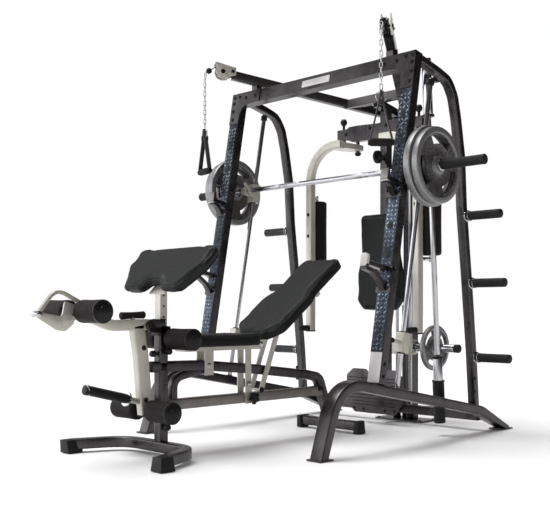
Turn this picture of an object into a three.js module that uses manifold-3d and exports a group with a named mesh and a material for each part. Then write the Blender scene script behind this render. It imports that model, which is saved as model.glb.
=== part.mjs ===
// Smith machine with a cable crossover, pec arms and a weight bench with leg developer.
// Millimetres, +Z up, +X along the bar, +Y from the bench towards the cable mast.
import * as THREE from 'three';
import { mergeVertices } from 'three/addons/utils/BufferGeometryUtils.js';
import Module from 'manifold-3d';

const wasm = await Module();
wasm.setup();

// ---------------------------------------------------------------- driving sizes
const GAP = 0.4;
const TILT = 10.3; // lean of the uprights, degrees
const FRAME_X = 637; // middle plane of each side frame
const TUBE_WIDE = 76;
const TUBE_DEEP = 50;
const SMALL_TUBE = 50;
const UPRIGHT_FOOT = [0, 258, 290];
const UPRIGHT_LENGTH = 1700;
const HOLE_PITCH = 143;
const ROD_X = 617; // guide rods of the smith bar
const ROD_BACK = 215; // distance of the guide rods behind the upright's front face
const ROD_RADIUS = 12.5;
const BAR_BACK = 150;
const BAR_UP = 1140;
const BAR_RADIUS = 14;
const BAR_HALF = 1035;
const MAST_Y = 1176;
const STACK_Y = 1350; // weight carriage rods
const STACK_ROD_X = 50;
const INNER = FRAME_X - TUBE_WIDE / 2;
const OUTER = FRAME_X + TUBE_WIDE / 2;

// ---------------------------------------------------------------- materials
const paint = (name, color, metalness, roughness) =>
  new THREE.MeshStandardMaterial({ name, color, metalness, roughness });
const charcoal = paint('charcoal paint', 0x34353a, 0.5, 0.45);
const champagne = paint('champagne paint', 0xa8a496, 0.5, 0.4);
const chrome = paint('chrome', 0xd8dade, 1, 0.12);
const iron = paint('hammered iron', 0x6a6c70, 0.7, 0.5);
const rubber = paint('black rubber', 0x18181a, 0, 0.75);
const foam = paint('black foam', 0x1e1a1a, 0, 0.9);
const vinyl = paint('black vinyl', 0x1a1c1c, 0, 0.5);
const webbing = paint('black webbing', 0x161618, 0, 0.9);

// ---------------------------------------------------------------- solids
function toSolid(geometry) {
  geometry.deleteAttribute('normal');
  geometry.deleteAttribute('uv');
  const merged = mergeVertices(geometry, 1e-4);
  return new wasm.Manifold(new wasm.Mesh({
    numProp: 3,
    vertProperties: new Float32Array(merged.attributes.position.array),
    triVerts: new Uint32Array(merged.index.array),
  }));
}

function box(x, y, z) {
  const geometry = new THREE.BoxGeometry(x[1] - x[0], y[1] - y[0], z[1] - z[0]);
  geometry.translate((x[0] + x[1]) / 2, (y[0] + y[1]) / 2, (z[0] + z[1]) / 2);
  return toSolid(geometry);
}

// Frame whose local Z runs from one point to another and whose local Y is as upright as it can be.
function alignment(from, to) {
  const start = new THREE.Vector3(...from);
  const along = new THREE.Vector3(...to).sub(start).normalize();
  const up = new THREE.Vector3(0, 0, 1);
  if (Math.abs(along.z) > 0.99) {
    up.set(0, 1, 0);
  }
  const side = up.cross(along).normalize();
  const over = along.clone().cross(side);
  return new THREE.Matrix4().makeBasis(side, over, along).setPosition(start);
}

function span(from, to) {
  return new THREE.Vector3(...from).distanceTo(new THREE.Vector3(...to));
}

function rod(from, to, radius, sides = 12) {
  const length = span(from, to);
  const geometry = new THREE.CylinderGeometry(radius, radius, length, sides);
  geometry.rotateX(Math.PI / 2);
  geometry.translate(0, 0, length / 2);
  geometry.applyMatrix4(alignment(from, to));
  return toSolid(geometry);
}

function beam(from, to, wide, high) {
  const length = span(from, to);
  const geometry = new THREE.BoxGeometry(wide, high, length);
  geometry.translate(0, 0, length / 2);
  geometry.applyMatrix4(alignment(from, to));
  return toSolid(geometry);
}

function prism(outline, depth, matrix) {
  const shape = new THREE.Shape(outline.map(([a, b]) => new THREE.Vector2(a, b)));
  const geometry = new THREE.ExtrudeGeometry(shape, { depth, bevelEnabled: false });
  geometry.applyMatrix4(matrix);
  return toSolid(geometry);
}

const vector = (x, y, z) => new THREE.Vector3(x, y, z);

// Outline of [y, z] pairs, extruded along X.
function plateX(outline, x0, x1) {
  const turn = new THREE.Matrix4().makeBasis(vector(0, 1, 0), vector(0, 0, 1), vector(1, 0, 0));
  return prism(outline, x1 - x0, turn.setPosition(x0, 0, 0));
}

// Outline of [x, z] pairs, extruded along Y.
function plateY(outline, y0, y1) {
  const turn = new THREE.Matrix4().makeBasis(vector(1, 0, 0), vector(0, 0, 1), vector(0, -1, 0));
  return prism(outline, y1 - y0, turn.setPosition(0, y1, 0));
}

// Outline of [x, y] pairs, extruded along Z.
function plateZ(outline, z0, z1) {
  return prism(outline, z1 - z0, new THREE.Matrix4().setPosition(0, 0, z0));
}

// Polyline with every inner corner rounded to the given radius.
function bend(points, radius, steps = 4) {
  const path = [points[0]];
  for (let i = 1; i < points.length - 1; i += 1) {
    const corner = new THREE.Vector2(...points[i]);
    const before = new THREE.Vector2(...points[i - 1]).sub(corner);
    const after = new THREE.Vector2(...points[i + 1]).sub(corner);
    const turn = Math.PI - before.angleTo(after);
    const room = 0.48 * Math.min(before.length(), after.length());
    const reach = Math.min(radius * Math.tan(turn / 2), room);
    const start = corner.clone().addScaledVector(before.normalize(), reach);
    const end = corner.clone().addScaledVector(after.normalize(), reach);
    const curve = new THREE.QuadraticBezierCurve(start, corner, end);
    path.push(...curve.getPoints(steps).map((point) => [point.x, point.y]));
  }
  path.push(points[points.length - 1]);
  return path;
}

// Closed outline of a strip of the given width that follows a path.
function band(path, width) {
  const left = [];
  const right = [];
  path.forEach((point, i) => {
    const previous = path[Math.max(i - 1, 0)];
    const next = path[Math.min(i + 1, path.length - 1)];
    const along = new THREE.Vector2(next[0] - previous[0], next[1] - previous[1]).normalize();
    const half = width / 2;
    left.push([point[0] - along.y * half, point[1] + along.x * half]);
    right.push([point[0] + along.y * half, point[1] - along.x * half]);
  });
  return [...right, ...left.reverse()];
}

function disc(radius, sides, centre = [0, 0]) {
  return Array.from({ length: sides }, (_, i) => {
    const angle = (2 * Math.PI * i) / sides;
    return [centre[0] + radius * Math.cos(angle), centre[1] + radius * Math.sin(angle)];
  });
}

const join = (...solids) => solids.reduce((all, solid) => all.add(solid));
const cut = (solid, ...tools) => tools.reduce((all, tool) => all.subtract(tool), solid);
const onSide = (solid, side) => (side < 0 ? solid.mirror([1, 0, 0]) : solid);
const tilted = (solid) => solid.rotate([-TILT, 0, 0]).translate(UPRIGHT_FOOT);

function leaning(x, back, up) {
  const angle = THREE.MathUtils.degToRad(TILT);
  const y = UPRIGHT_FOOT[1] + back * Math.cos(angle) + up * Math.sin(angle);
  return [x, y, UPRIGHT_FOOT[2] - back * Math.sin(angle) + up * Math.cos(angle)];
}

const machine = new THREE.Group();
machine.name = 'smith_machine';

function node(name, solid, material) {
  const mesh = solid.getMesh();
  const geometry = new THREE.BufferGeometry();
  const positions = new Float32Array(mesh.vertProperties);
  geometry.setAttribute('position', new THREE.BufferAttribute(positions, mesh.numProp));
  geometry.setIndex(new THREE.BufferAttribute(new Uint32Array(mesh.triVerts), 1));
  geometry.computeVertexNormals();
  const part = new THREE.Mesh(geometry, material);
  part.name = name;
  machine.add(part);
}

const SIDES = [['left', -1], ['right', 1]];

// ---------------------------------------------------------------- side frames
const basePath = bend([[-118, -4], [0, 348], [1166, 123], [1424, -4]], 200);
const rearPath = bend([[590, 1945], [780, 1900], [875, 1872], [928, 1795], [958, 1680], [996, 1480],
  [1012, 1218], [1058, 851], [1105, 437], [1133, 130]], 110);
const PEG_SPOTS = [[1024, 1172], [1068, 815], [1114, 414]];

function baseBand(grow = 0) {
  const strip = band(basePath, TUBE_DEEP + 2 * grow);
  return plateX(strip, INNER - grow, OUTER + grow);
}

function sideBase() {
  const floor = box([INNER - 50, OUTER + 50], [-200, 1700], [-200, 0]);
  const frontFoot = box([INNER - 6, OUTER + 6], [-155, -68], [0, 7]);
  const rearFoot = box([INNER - 6, OUTER + 6], [1352, 1462], [0, 7]);
  return cut(join(baseBand(), frontFoot, rearFoot), floor);
}

function upright() {
  const post = box([INNER, OUTER], [0, TUBE_DEEP], [-12, UPRIGHT_LENGTH]);
  const holes = [];
  for (let up = 520; up < 1600; up += HOLE_PITCH) {
    holes.push(rod([FRAME_X, -5, up], [FRAME_X, TUBE_DEEP + 5, up], 8.5, 10));
  }
  return cut(tilted(cut(post, ...holes)), baseBand(GAP));
}

function uprightRoom() {
  return tilted(box([INNER - GAP, OUTER + GAP], [-GAP, TUBE_DEEP + GAP], [-40, UPRIGHT_LENGTH + 40]));
}

function rearTube() {
  const half = SMALL_TUBE / 2;
  const tube = plateX(band(rearPath, 38), FRAME_X - half, FRAME_X + half);
  const pegs = PEG_SPOTS.map(([y, z]) => join(
    rod([FRAME_X, y, z], [FRAME_X + 40, y, z], 12),
    rod([FRAME_X + 28, y, z], [FRAME_X + 34, y, z], 32, 16),
    rod([FRAME_X + 32, y, z], [FRAME_X + 234, y, z], 25, 16),
  ));
  return cut(join(tube, ...pegs), baseBand(GAP), uprightRoom());
}

function guideRod(grow = 0) {
  const solid = rod(leaning(ROD_X, ROD_BACK, -12), leaning(ROD_X, ROD_BACK, 1655), ROD_RADIUS + grow, 16);
  if (grow > 0) {
    return solid;
  }
  const roof = plateX(band(rearPath, 38 + 2 * GAP), INNER - 40, OUTER);
  return cut(solid, baseBand(GAP), roof);
}

const ARM_FRONT = [574, 462, 2045];
const ARM_REAR = [0, 1385, 1840];
const ARM_HEADING = [0.528, -0.849];
const PULLEY = [607, 409, 2062];

function crossoverTube(grow = 0) {
  return beam(ARM_FRONT, ARM_REAR, SMALL_TUBE + 2 * grow, SMALL_TUBE + 2 * grow);
}

// Solid turned so that its local Y plane holds the heading of the right crossover arm.
function swivel(solid) {
  const angle = THREE.MathUtils.radToDeg(Math.atan2(ARM_HEADING[1], ARM_HEADING[0]));
  return solid.rotate([0, 0, angle]).translate(PULLEY);
}

function pulleyCheeks() {
  const outline = [[-70, -22], [-30, -36], [0, -41], [30, -30], [41, 0], [34, 34], [58, 52],
    [40, 58], [-20, 44], [-70, 24]];
  const cheek = (y) => plateY(outline, y - 3, y + 3);
  return swivel(join(cheek(-23), cheek(23), rod([0, -26, 0], [0, 26, 0], 8, 12)));
}

function crossoverArm() {
  const whole = join(crossoverTube(), pulleyCheeks());
  const beyond = box([-200, GAP], [1000, 1600], [1500, 2200]);
  return cut(whole, beyond);
}

function pulley() {
  const wheel = rod([0, -10, 0], [0, 10, 0], 38, 24);
  return swivel(cut(wheel, rod([0, -20, 0], [0, 20, 0], 8 + GAP, 12)));
}

function topCrossbar() {
  const bar = tilted(box([-INNER + GAP, INNER - GAP], [-1, TUBE_DEEP], [UPRIGHT_LENGTH - 76, UPRIGHT_LENGTH]));
  const half = (side) => {
    const corner = bend([[500, UPRIGHT_LENGTH - 76], [590, UPRIGHT_LENGTH - 88],
      [INNER, UPRIGHT_LENGTH - 190]], 90);
    const outline = [[OUTER, UPRIGHT_LENGTH], [440, UPRIGHT_LENGTH], [440, UPRIGHT_LENGTH - 76],
      ...corner, [OUTER, UPRIGHT_LENGTH - 190]];
    const gusset = tilted(plateY(outline, -6.4, -GAP));
    const saddle = box([478, 522], [566, 606], [1940, 2030]);
    return onSide(join(gusset, cut(saddle, crossoverTube(GAP), box([400, 600], [500, 700], [2003, 2100]))), side);
  };
  return join(bar, half(-1), half(1));
}

for (const [label, side] of SIDES) {
  node(`base_${label}`, onSide(sideBase(), side), charcoal);
  node(`upright_${label}`, onSide(upright(), side), charcoal);
  node(`guide_rod_${label}`, onSide(guideRod(), side), chrome);
  node(`crossover_${label}`, onSide(crossoverArm(), side), charcoal);
  node(`pulley_${label}`, onSide(pulley(), side), rubber);
}
node('top_crossbar', topCrossbar(), charcoal);

// ---------------------------------------------------------------- cable mast
const crossTubeY = 1066;

function bothArms(grow) {
  const arm = crossoverTube(grow);
  return arm.add(arm.mirror([1, 0, 0]));
}

function crossTube() {
  const tube = box([-260, 260], [crossTubeY - 25, crossTubeY + 25], [1885, 1935]);
  const keel = beam([0, crossTubeY + 20, 1893], [0, 1262, 1858], 44, 46);
  return cut(join(tube, keel), bothArms(GAP), outsideArms());
}

// Space beyond the outer faces of the two crossover arms.
function outsideArms() {
  const right = plateZ([[600, 418], [600, 1600], [0, 1385]], 1700, 2200);
  return right.add(right.mirror([1, 0, 0]));
}

function keelRoom() {
  return beam([0, crossTubeY - 40, 1904], [0, 1300, 1850], 44 + 2 * GAP, 46 + 2 * GAP);
}

function frontPost() {
  const half = SMALL_TUBE / 2;
  const post = box([-half, half], [MAST_Y - half, MAST_Y + half], [60, 1880]);
  const pulleyFork = join(
    box([-14, -9], [1084, MAST_Y], [1563, 1587]),
    box([9, 14], [1084, MAST_Y], [1563, 1587]),
    rod([-14, 1097, 1575], [14, 1097, 1575], 7, 12),
  );
  return cut(join(post, pulleyFork), keelRoom());
}

function rearMast() {
  const half = SMALL_TUBE / 2;
  const post = box([-half, half], [1405 - half, 1405 + half], [4, 1850]);
  const sleeve = box([-38, 38], [1384, 1446], [4, 700]);
  const floorPlate = box([-175, 175], [1290, 1450], [0, 8]);
  const foot = box([-half, half], [1140, 1405], [57, 107]);
  const cross = box([-INNER + GAP, INNER - GAP], [1225, 1275], [57, 107]);
  const topCap = box([-72, 72], [1330, 1400], [1796, 1808]);
  return cut(join(post, sleeve, floorPlate, foot, cross, topCap), bothArms(GAP), carriageRod(-1, GAP), carriageRod(1, GAP));
}

function carriageRod(side, grow = 0) {
  const x = side * STACK_ROD_X;
  return rod([x, STACK_Y, 8 + GAP - grow], [x, STACK_Y, 1796 - GAP + grow], 10 + grow, 16);
}

function weightCarriage() {
  const hub = box([-82, 82], [1326, 1374], [400, 490]);
  const peg = rod([0, STACK_Y, 445], [400, STACK_Y, 445], 24, 16);
  const stop = rod([92, STACK_Y, 445], [100, STACK_Y, 445], 36, 16);
  return cut(join(hub, peg, stop), carriageRod(-1, 1), carriageRod(1, 1));
}

function plateRing(radius, bore, sides = 32) {
  const shapeSolid = plateX(disc(radius, sides), 0, 1);
  return cut(shapeSolid, plateX(disc(bore, 16), -1, 2));
}

function stackPlate() {
  return plateRing(135, 24 + GAP, 32).scale([26, 1, 1]).translate([215, STACK_Y, 445]);
}

function footplate() {
  const outline = bend([[-150, 61], [150, 61], [210, 136], [210, 281], [160, 321], [60, 321],
    [35, 291], [-35, 291], [-60, 321], [-160, 321], [-210, 281], [-210, 136], [-150, 61]], 26, 2);
  const plate = plateY(outline.slice(1, -1), 1060, 1068);
  const stem = box([-25, 25], [1062, MAST_Y - 25 - GAP], [166, 216]);
  return join(plate, stem);
}

// ---------------------------------------------------------------- pec station
const PEC_PIVOT = [170, 1118];
const PEC_TOP = 1650;

function pecBracket() {
  const wing = (side) => {
    const outline = [[20, 1776], [150, 1784], [222, 1784], [240, 1774], [318, 1774], [318, 1717],
      [240, 1708], [200, 1690], [20, 1685]];
    const plate = plateY(outline, 1098, 1138);
    const pivotPin = rod([PEC_PIVOT[0], PEC_PIVOT[1], 1612], [PEC_PIVOT[0], PEC_PIVOT[1], 1710], 11, 12);
    const washer = rod([PEC_PIVOT[0], PEC_PIVOT[1], 1612], [PEC_PIVOT[0], PEC_PIVOT[1], 1624], 19, 12);
    const knob = join(
      rod([282, 1118, 1760], [282, 1118, 1810], 7, 12),
      rod([282, 1118, 1806], [282, 1118, 1840], 16, 12),
    );
    return onSide(join(plate, pivotPin, washer, knob), side);
  };
  const clamp = box([-50, 50], [1098, MAST_Y - 25 - GAP], [1685, 1776]);
  return join(clamp, wing(-1), wing(1));
}

// The arm hangs at |x| 400 and turns inwards at the top on a wide quarter circle.
function pecPath() {
  const [middleX, middleZ, radius, steps] = [200, PEC_TOP - 200, 200, 8];
  const quarter = [];
  for (let i = 0; i <= steps; i += 1) {
    const angle = (Math.PI / 2) * (1 - i / steps);
    quarter.push([middleX + radius * Math.cos(angle), middleZ + radius * Math.sin(angle)]);
  }
  return [[146, PEC_TOP], ...quarter, [400, 540]];
}

function pecArm() {
  const flangeOutline = bend([[138, 1100], [138, 1146], [204, 1146], [246, 1040], [246, 930],
    [150, 930], [138, 1100]], 20, 2);
  const flange = plateZ(flangeOutline, PEC_TOP - 20, PEC_TOP + 14);
  const tube = plateY(band(pecPath(), 44), 923, 967);
  const rollerFork = join(
    rod([400, 950, 952], [425, 1030, 952], 10, 12),
    rod([425, 1030, 934], [425, 1030, 1374], 10, 12),
    rod([400, 950, 1357], [425, 1030, 1357], 10, 12),
  );
  const handle = rod([400, 945, 560], [400, 848, 560], 15, 12);
  const bore = rod([PEC_PIVOT[0], PEC_PIVOT[1], 1600], [PEC_PIVOT[0], PEC_PIVOT[1], 1720], 11 + GAP, 12);
  return cut(join(flange, tube, rollerFork, handle), bore);
}

function pecRoller() {
  const sleeve = rod([425, 1030, 972], [425, 1030, 1338], 58, 20);
  return cut(sleeve, rod([425, 1030, 960], [425, 1030, 1350], 10 + GAP, 12));
}

function backPad() {
  const outline = bend([[-118, 0], [118, 0], [168, 60], [165, 230], [140, 330], [140, 582], [-140, 582],
    [-140, 330], [-165, 230], [-168, 60], [-118, 0]], 45, 3);
  const lower = [0, 664];
  const shifted = outline.slice(1, -1).map(([x, z]) => [x + lower[0], z + lower[1]]);
  return plateY(shifted, 1090, MAST_Y - 25 - GAP);
}

node('cross_tube', crossTube(), charcoal);
node('mast', join(frontPost(), rearMast()), charcoal);
node('weight_carriage', weightCarriage(), champagne);
node('footplate', footplate(), charcoal);
node('pec_bracket', pecBracket(), charcoal);
node('stack_plate', stackPlate(), iron);
node('back_pad', backPad(), vinyl);
for (const [label, side] of SIDES) {
  node(`carriage_rod_${label}`, carriageRod(side), chrome);
  node(`pec_arm_${label}`, onSide(pecArm(), side), champagne);
  node(`pec_roller_${label}`, onSide(pecRoller(), side), foam);
}

// ---------------------------------------------------------------- smith bar and its safeties
function saddle(low, high) {
  const outside = box([INNER - 5.4, OUTER + 5.4], [-8.4, 38], [low, high]);
  return cut(outside, box([INNER - GAP, OUTER + GAP], [-GAP, 40], [low - 1, high + 1]));
}

// A rest that stands out from the upright: two clips, a rail, an end plate and a curved brace below.
function rest(railLow, railHigh, reach, plate, braceOutline, clipLow) {
  const rail = box([FRAME_X - 19, FRAME_X + 19], [-reach, -4], [railLow, railHigh]);
  const brace = plateX(band(bend(braceOutline, 50), 20), FRAME_X - 17, FRAME_X + 17);
  return tilted(join(saddle(railLow, railHigh), saddle(clipLow, clipLow + 24), rail, plate, brace));
}

function jHook() {
  const plate = box([FRAME_X - 23, FRAME_X + 23], [-94, -80], [1010, 1068]);
  return rest(1010, 1030, 86, plate, [[-84, 1008], [-46, 998], [-9, 962]], 949);
}

function spotterArm() {
  const outline = [[-20, 570], [20, 570], [20, 612], [13, 624], [0, 629], [-13, 624], [-20, 612]];
  const plate = plateY(outline.map(([x, up]) => [x + FRAME_X, up]), -172, -156);
  return rest(578, 600, 160, plate, [[-168, 562], [-105, 557], [-50, 531], [-9, 490]], 476);
}

function stopper() {
  const housing = box([ROD_X - 27, ROD_X + 27], [ROD_BACK - 24, ROD_BACK + 24], [212, 312]);
  const latch = rod([ROD_X, ROD_BACK - 20, 262], [ROD_X, ROD_BACK - 68, 262], 9, 12);
  return cut(tilted(join(housing, latch)), guideRod(1));
}

function slider() {
  const housing = box([ROD_X - 27, ROD_X + 27], [ROD_BACK - 24, ROD_BACK + 24], [BAR_UP - 55, BAR_UP + 55]);
  const bearing = rod([ROD_X - 20, BAR_BACK, BAR_UP], [ROD_X + 20, BAR_BACK, BAR_UP], 26, 16);
  const web = box([ROD_X - 16, ROD_X + 16], [BAR_BACK, ROD_BACK], [BAR_UP - 24, BAR_UP + 24]);
  const bore = rod([ROD_X - 40, BAR_BACK, BAR_UP], [ROD_X + 40, BAR_BACK, BAR_UP], BAR_RADIUS + GAP, 16);
  return cut(tilted(cut(join(housing, bearing, web), bore)), guideRod(1));
}

function atBar(solid) {
  return tilted(solid.translate([0, BAR_BACK, BAR_UP]));
}

function smithBar() {
  const shaft = rod([-BAR_HALF, 0, 0], [BAR_HALF, 0, 0], BAR_RADIUS, 16);
  const end = (side) => onSide(join(
    rod([790, 0, 0], [BAR_HALF, 0, 0], 25, 16),
    rod([784, 0, 0], [792, 0, 0], 30, 16),
    rod([684, 0, 0], [698, 0, 0], 30, 16),
    plateX(bend([[-14, -16], [16, -16], [16, 16], [-20, 16], [-58, 34], [-58, 22], [-14, 4], [-14, -16]], 6, 1), 568, 580),
  ), side);
  return atBar(join(shaft, end(-1), end(1)));
}

function gripPlate(radius, x0, x1) {
  let plate = plateRing(radius, BAR_RADIUS + GAP);
  const slot = (turn) => {
    const path = Array.from({ length: 7 }, (_, i) => {
      const angle = THREE.MathUtils.degToRad(turn - 30 + 10 * i);
      return [0.68 * radius * Math.cos(angle), 0.68 * radius * Math.sin(angle)];
    });
    return plateX(band(path, 0.22 * radius), -1, 2);
  };
  plate = cut(plate, slot(90), slot(210), slot(330));
  return atBar(plate.scale([x1 - x0, 1, 1]).translate([x0, 0, 0]));
}

node('smith_bar', smithBar(), chrome);
for (const [label, side] of SIDES) {
  node(`slider_${label}`, onSide(slider(), side), champagne);
  node(`stopper_${label}`, onSide(stopper(), side), champagne);
  node(`j_hook_${label}`, onSide(jHook(), side), charcoal);
  node(`spotter_arm_${label}`, onSide(spotterArm(), side), charcoal);
  node(`inner_plate_${label}`, onSide(gripPlate(200, 700, 737), side), iron);
  node(`outer_plate_${label}`, onSide(gripPlate(190, 742, 778), side), iron);
}

// ---------------------------------------------------------------- stored barbell and pull handles
const BARBELL_X = 555;

function onBarbell(z) {
  return [BARBELL_X, 934.5 - 0.064 * z, z];
}

function barbell(grow = 0) {
  const piece = (low, high, radius) => rod(onBarbell(low - grow), onBarbell(high + grow), radius + grow, 12);
  return join(piece(75, 425, 25), piece(415, 1700, 12), piece(1686, 1992, 25), piece(412, 424, 32),
    piece(1686, 1698, 32));
}

function barbellHolder() {
  const tube = rod(onBarbell(68), onBarbell(297), 31, 16);
  const bracket = box([BARBELL_X, INNER - GAP], [906, 942], [140, 176]);
  return cut(join(tube, bracket), barbell(0.6));
}

function barbellClip() {
  const [x, y] = onBarbell(1872);
  const block = box([x - 32, FRAME_X - 20], [y - 14, y + 34], [1862, 1884]);
  const mouth = box([x - 22, x + 22], [y - 60, y], [1800, 1900]);
  return cut(block, barbell(0.6), mouth);
}

const PULL = [649, 310];
const BALL_Z = 2062;

function pull(yaw) {
  const [x, y] = PULL;
  const ball = rod([x - 8, y + 25, BALL_Z], [x + 2, y - 2, BALL_Z - 26], 15, 12);
  const chain = rod([x, y, 1690], [x, y, BALL_Z - 20], 6, 10);
  const strap = (side) => beam([0, 0, 1694], [side * 54, 0, 1474], 24, 4);
  const grip = rod([-62, 0, 1474], [62, 0, 1474], 15, 16);
  const handle = join(strap(-1), strap(1), grip).rotate([0, 0, yaw]).translate([x, y, 0]);
  return join(ball, chain, handle);
}

// ---------------------------------------------------------------- bench
const POST_Y = -508;
const HINGE = [95, 496];
const LEG_PIVOT = [-588, 600];
const BACK_ANGLE = 36.1;
const CURL_ANGLE = 47.2;
const ROLLER = 50;
const railPath = bend([[-575, 410], [-270, 405], [65, 372], [470, 322], [570, 302], [640, 120], [675, 45]], 70);

function crossRod([y, z], half, radius, sides = 12) {
  return rod([-half, y, z], [half, y, z], radius, sides);
}

function curlPostSolid(grow = 0) {
  const half = 20 + grow;
  return box([-half, half], [POST_Y - half, POST_Y + half], [430 - grow, 812]);
}

function benchFrame() {
  const half = SMALL_TUBE / 2;
  const foot = bend([[-350, -770], [-250, -520], [250, -520], [350, -770]], 170);
  const footTube = plateZ(band(foot, SMALL_TUBE), 14, 66);
  const cap = (side) => onSide(box([318, 386], [-800, -738], [0, 60]), side);
  const rearTubeBar = box([-220, 220], [650, 700], [16, 66]);
  const rearCap = (side) => onSide(box([196, 226], [645, 705], [0, 68]), side);
  const post = box([-half, half], [POST_Y - half, POST_Y + half], [20, 590]);
  const collar = box([-33, 33], [POST_Y - 33, POST_Y + 33], [556, 596]);
  const lowerBeam = box([-half, half], [-500, 590], [203, 253]);
  const rail = plateX(band(railPath, SMALL_TUBE), -half, half);
  const arch = plateX(band(bend([[-440, 240], [-440, 350], [-250, 385]], 90), 36), -half, half);
  const pivotCheek = (side) => onSide(box([26, 34], [-620, POST_Y], [566, 632]), side);
  const pivotPin = crossRod(LEG_PIVOT, 34, 10);
  const thighAxle = crossRod([-480, 538], 214, 10);
  const whole = join(footTube, cap(-1), cap(1), rearTubeBar, rearCap(-1), rearCap(1), post, collar,
    lowerBeam, rail, arch, pivotCheek(-1), pivotCheek(1), pivotPin, thighAxle);
  return cut(whole, curlPostSolid(GAP));
}

function seatFrame() {
  const tray = box([-44, 44], [-390, 24], [474, 496]);
  const lug = (side) => {
    const outline = [[0, 474], [108, 474], [108, 510], [36, 510], [36, 496], [0, 496]];
    return onSide(plateX(outline, 36, 44), side);
  };
  const frontCheek = (side) => onSide(box([25 + GAP, 32], [-268, -212], [356, 480]), side);
  const rearCheek = (side) => onSide(box([25 + GAP, 32], [0, 40], [200, 480]), side);
  return join(tray, lug(-1), lug(1), crossRod(HINGE, 44, 8), frontCheek(-1), frontCheek(1),
    rearCheek(-1), rearCheek(1));
}

function seatPad() {
  const outline = bend([[-118, -424], [118, -424], [142, -390], [142, 0], [120, 30], [-120, 30],
    [-142, 0], [-142, -390], [-118, -424]], 20, 2);
  return plateZ(outline.slice(1, -1), 496 + GAP, 554);
}

function alongBack(solid) {
  return solid.rotate([BACK_ANGLE, 0, 0]).translate([0, 95, 511]);
}

function backrestPad() {
  const outline = bend([[-100, 0], [100, 0], [170, 70], [170, 320], [140, 400], [140, 687],
    [-140, 687], [-140, 400], [-170, 320], [-170, 70], [-100, 0]], 60, 3);
  return alongBack(plateZ(outline.slice(1, -1), 0, 60));
}

function backrestFrame() {
  const tube = alongBack(box([-20, 20], [4, 560], [-40, -GAP]));
  const wing = alongBack(box([-110, 110], [420, 450], [-24, -GAP]));
  const heel = crossRod(HINGE, 20, 18);
  return cut(join(tube, wing, heel), crossRod(HINGE, 60, 8 + GAP), crossRod(STRUT_TOP, 60, 7 + GAP));
}

const STRUT_TOP = [233, 587];
const STRUT_FOOT = [103, 264];

function backStrut() {
  const half = 15;
  const flat = (side) => {
    const solid = beam([0, ...STRUT_TOP], [0, ...STRUT_FOOT], 7, 2 * half);
    return solid.translate([side * 37, 0, 0]);
  };
  return join(flat(-1), flat(1), crossRod(STRUT_TOP, 40, 7), crossRod(STRUT_FOOT, 40, 7));
}

function onCurl(solid) {
  return solid.rotate([CURL_ANGLE, 0, 0]).translate([0, -547.5, 735.6]);
}

function curlPad() {
  const outline = bend([[0, 50], [40, 50], [72, 0], [205, 0], [290, 150], [290, 262], [250, 280],
    [-250, 280], [-290, 262], [-290, 150], [-205, 0], [-72, 0], [-40, 50], [0, 50]], 28, 2);
  return onCurl(plateZ(outline.slice(1), 0, 58));
}

function curlPost() {
  const above = onCurl(box([-200, 200], [-300, 500], [-GAP, 300]));
  const plate = onCurl(box([-60, 60], [20, 160], [-8, -GAP]));
  return join(cut(curlPostSolid(), above), plate);
}

const FRONT_AXLE = [-965, 667];
const LOW_AXLE = [-600, 214];

function legDeveloper() {
  const arm = plateX(band(bend([[-570, 606], [-790, 604], [-975, 672]], 150), 50), -22, 22);
  const leg = plateX(band(bend([[-648, 600], [-626, 466], [-611, 310], [-598, 186]], 120), 66), -22, 22);
  const peg = join(
    rod([0, -600, 247], [0, -700, 272], 14, 12),
    rod([0, -690, 269.5], [0, -924, 328], 22, 16),
    rod([0, -690, 269.5], [0, -698, 271.5], 30, 16),
  );
  const frontPlate = plateX([[-1160, 668], [-1150, 640], [-1063, 588], [-1019, 582], [-980, 612],
    [-950, 690], [-1022, 712], [-1035, 645]], -4, 4);
  const loop = plateX(band(bend([[-935, 700], [-1065, 765], [-1150, 656]], 70), 16), -10, 10);
  const loopEnd = rod([-22, -1153, 656], [22, -1153, 656], 13);
  const topGrip = rod([0, -735, 646], [0, -605, 650], 15, 12);
  const stem = rod([0, -670, 610], [0, -670, 648], 12, 12);
  return cut(join(arm, leg, peg, frontPlate, loop, loopEnd, topGrip, stem, crossRod(FRONT_AXLE, 214, 10),
    crossRod(LOW_AXLE, 214, 10)), crossRod(LEG_PIVOT, 60, 10 + GAP));
}

function roller([y, z], side, inner) {
  const sleeve = rod([inner, y, z], [210, y, z], ROLLER, 20);
  return onSide(cut(sleeve, crossRod([y, z], 260, 10 + GAP)), side);
}

node('rear_tube_left', onSide(rearTube(), -1), charcoal);
node('rear_tube_right', join(rearTube(), barbellClip()), charcoal);
node('stored_barbell', barbell(), chrome);
node('barbell_holder', barbellHolder(), rubber);
node('pull_left', onSide(pull(10), -1), webbing);
node('pull_right', pull(45), webbing);
node('bench_frame', benchFrame(), charcoal);
node('seat_frame', seatFrame(), champagne);
node('seat_pad', seatPad(), vinyl);
node('backrest_frame', backrestFrame(), champagne);
node('backrest_pad', backrestPad(), vinyl);
node('back_strut', backStrut(), champagne);
node('curl_post', curlPost(), champagne);
node('curl_pad', curlPad(), vinyl);
node('leg_developer', legDeveloper(), champagne);
for (const [label, side] of SIDES) {
  node(`front_roller_${label}`, roller(FRONT_AXLE, side, 46), foam);
  node(`low_roller_${label}`, roller(LOW_AXLE, side, 46), foam);
  node(`thigh_roller_${label}`, roller([-480, 538], side, 37), foam);
}

// ---------------------------------------------------------------- origin under the middle of the box
const bounds = new THREE.Box3().setFromObject(machine);
const middle = bounds.getCenter(new THREE.Vector3());
machine.position.set(-middle.x, -middle.y, -bounds.min.z);

export default machine;
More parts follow.
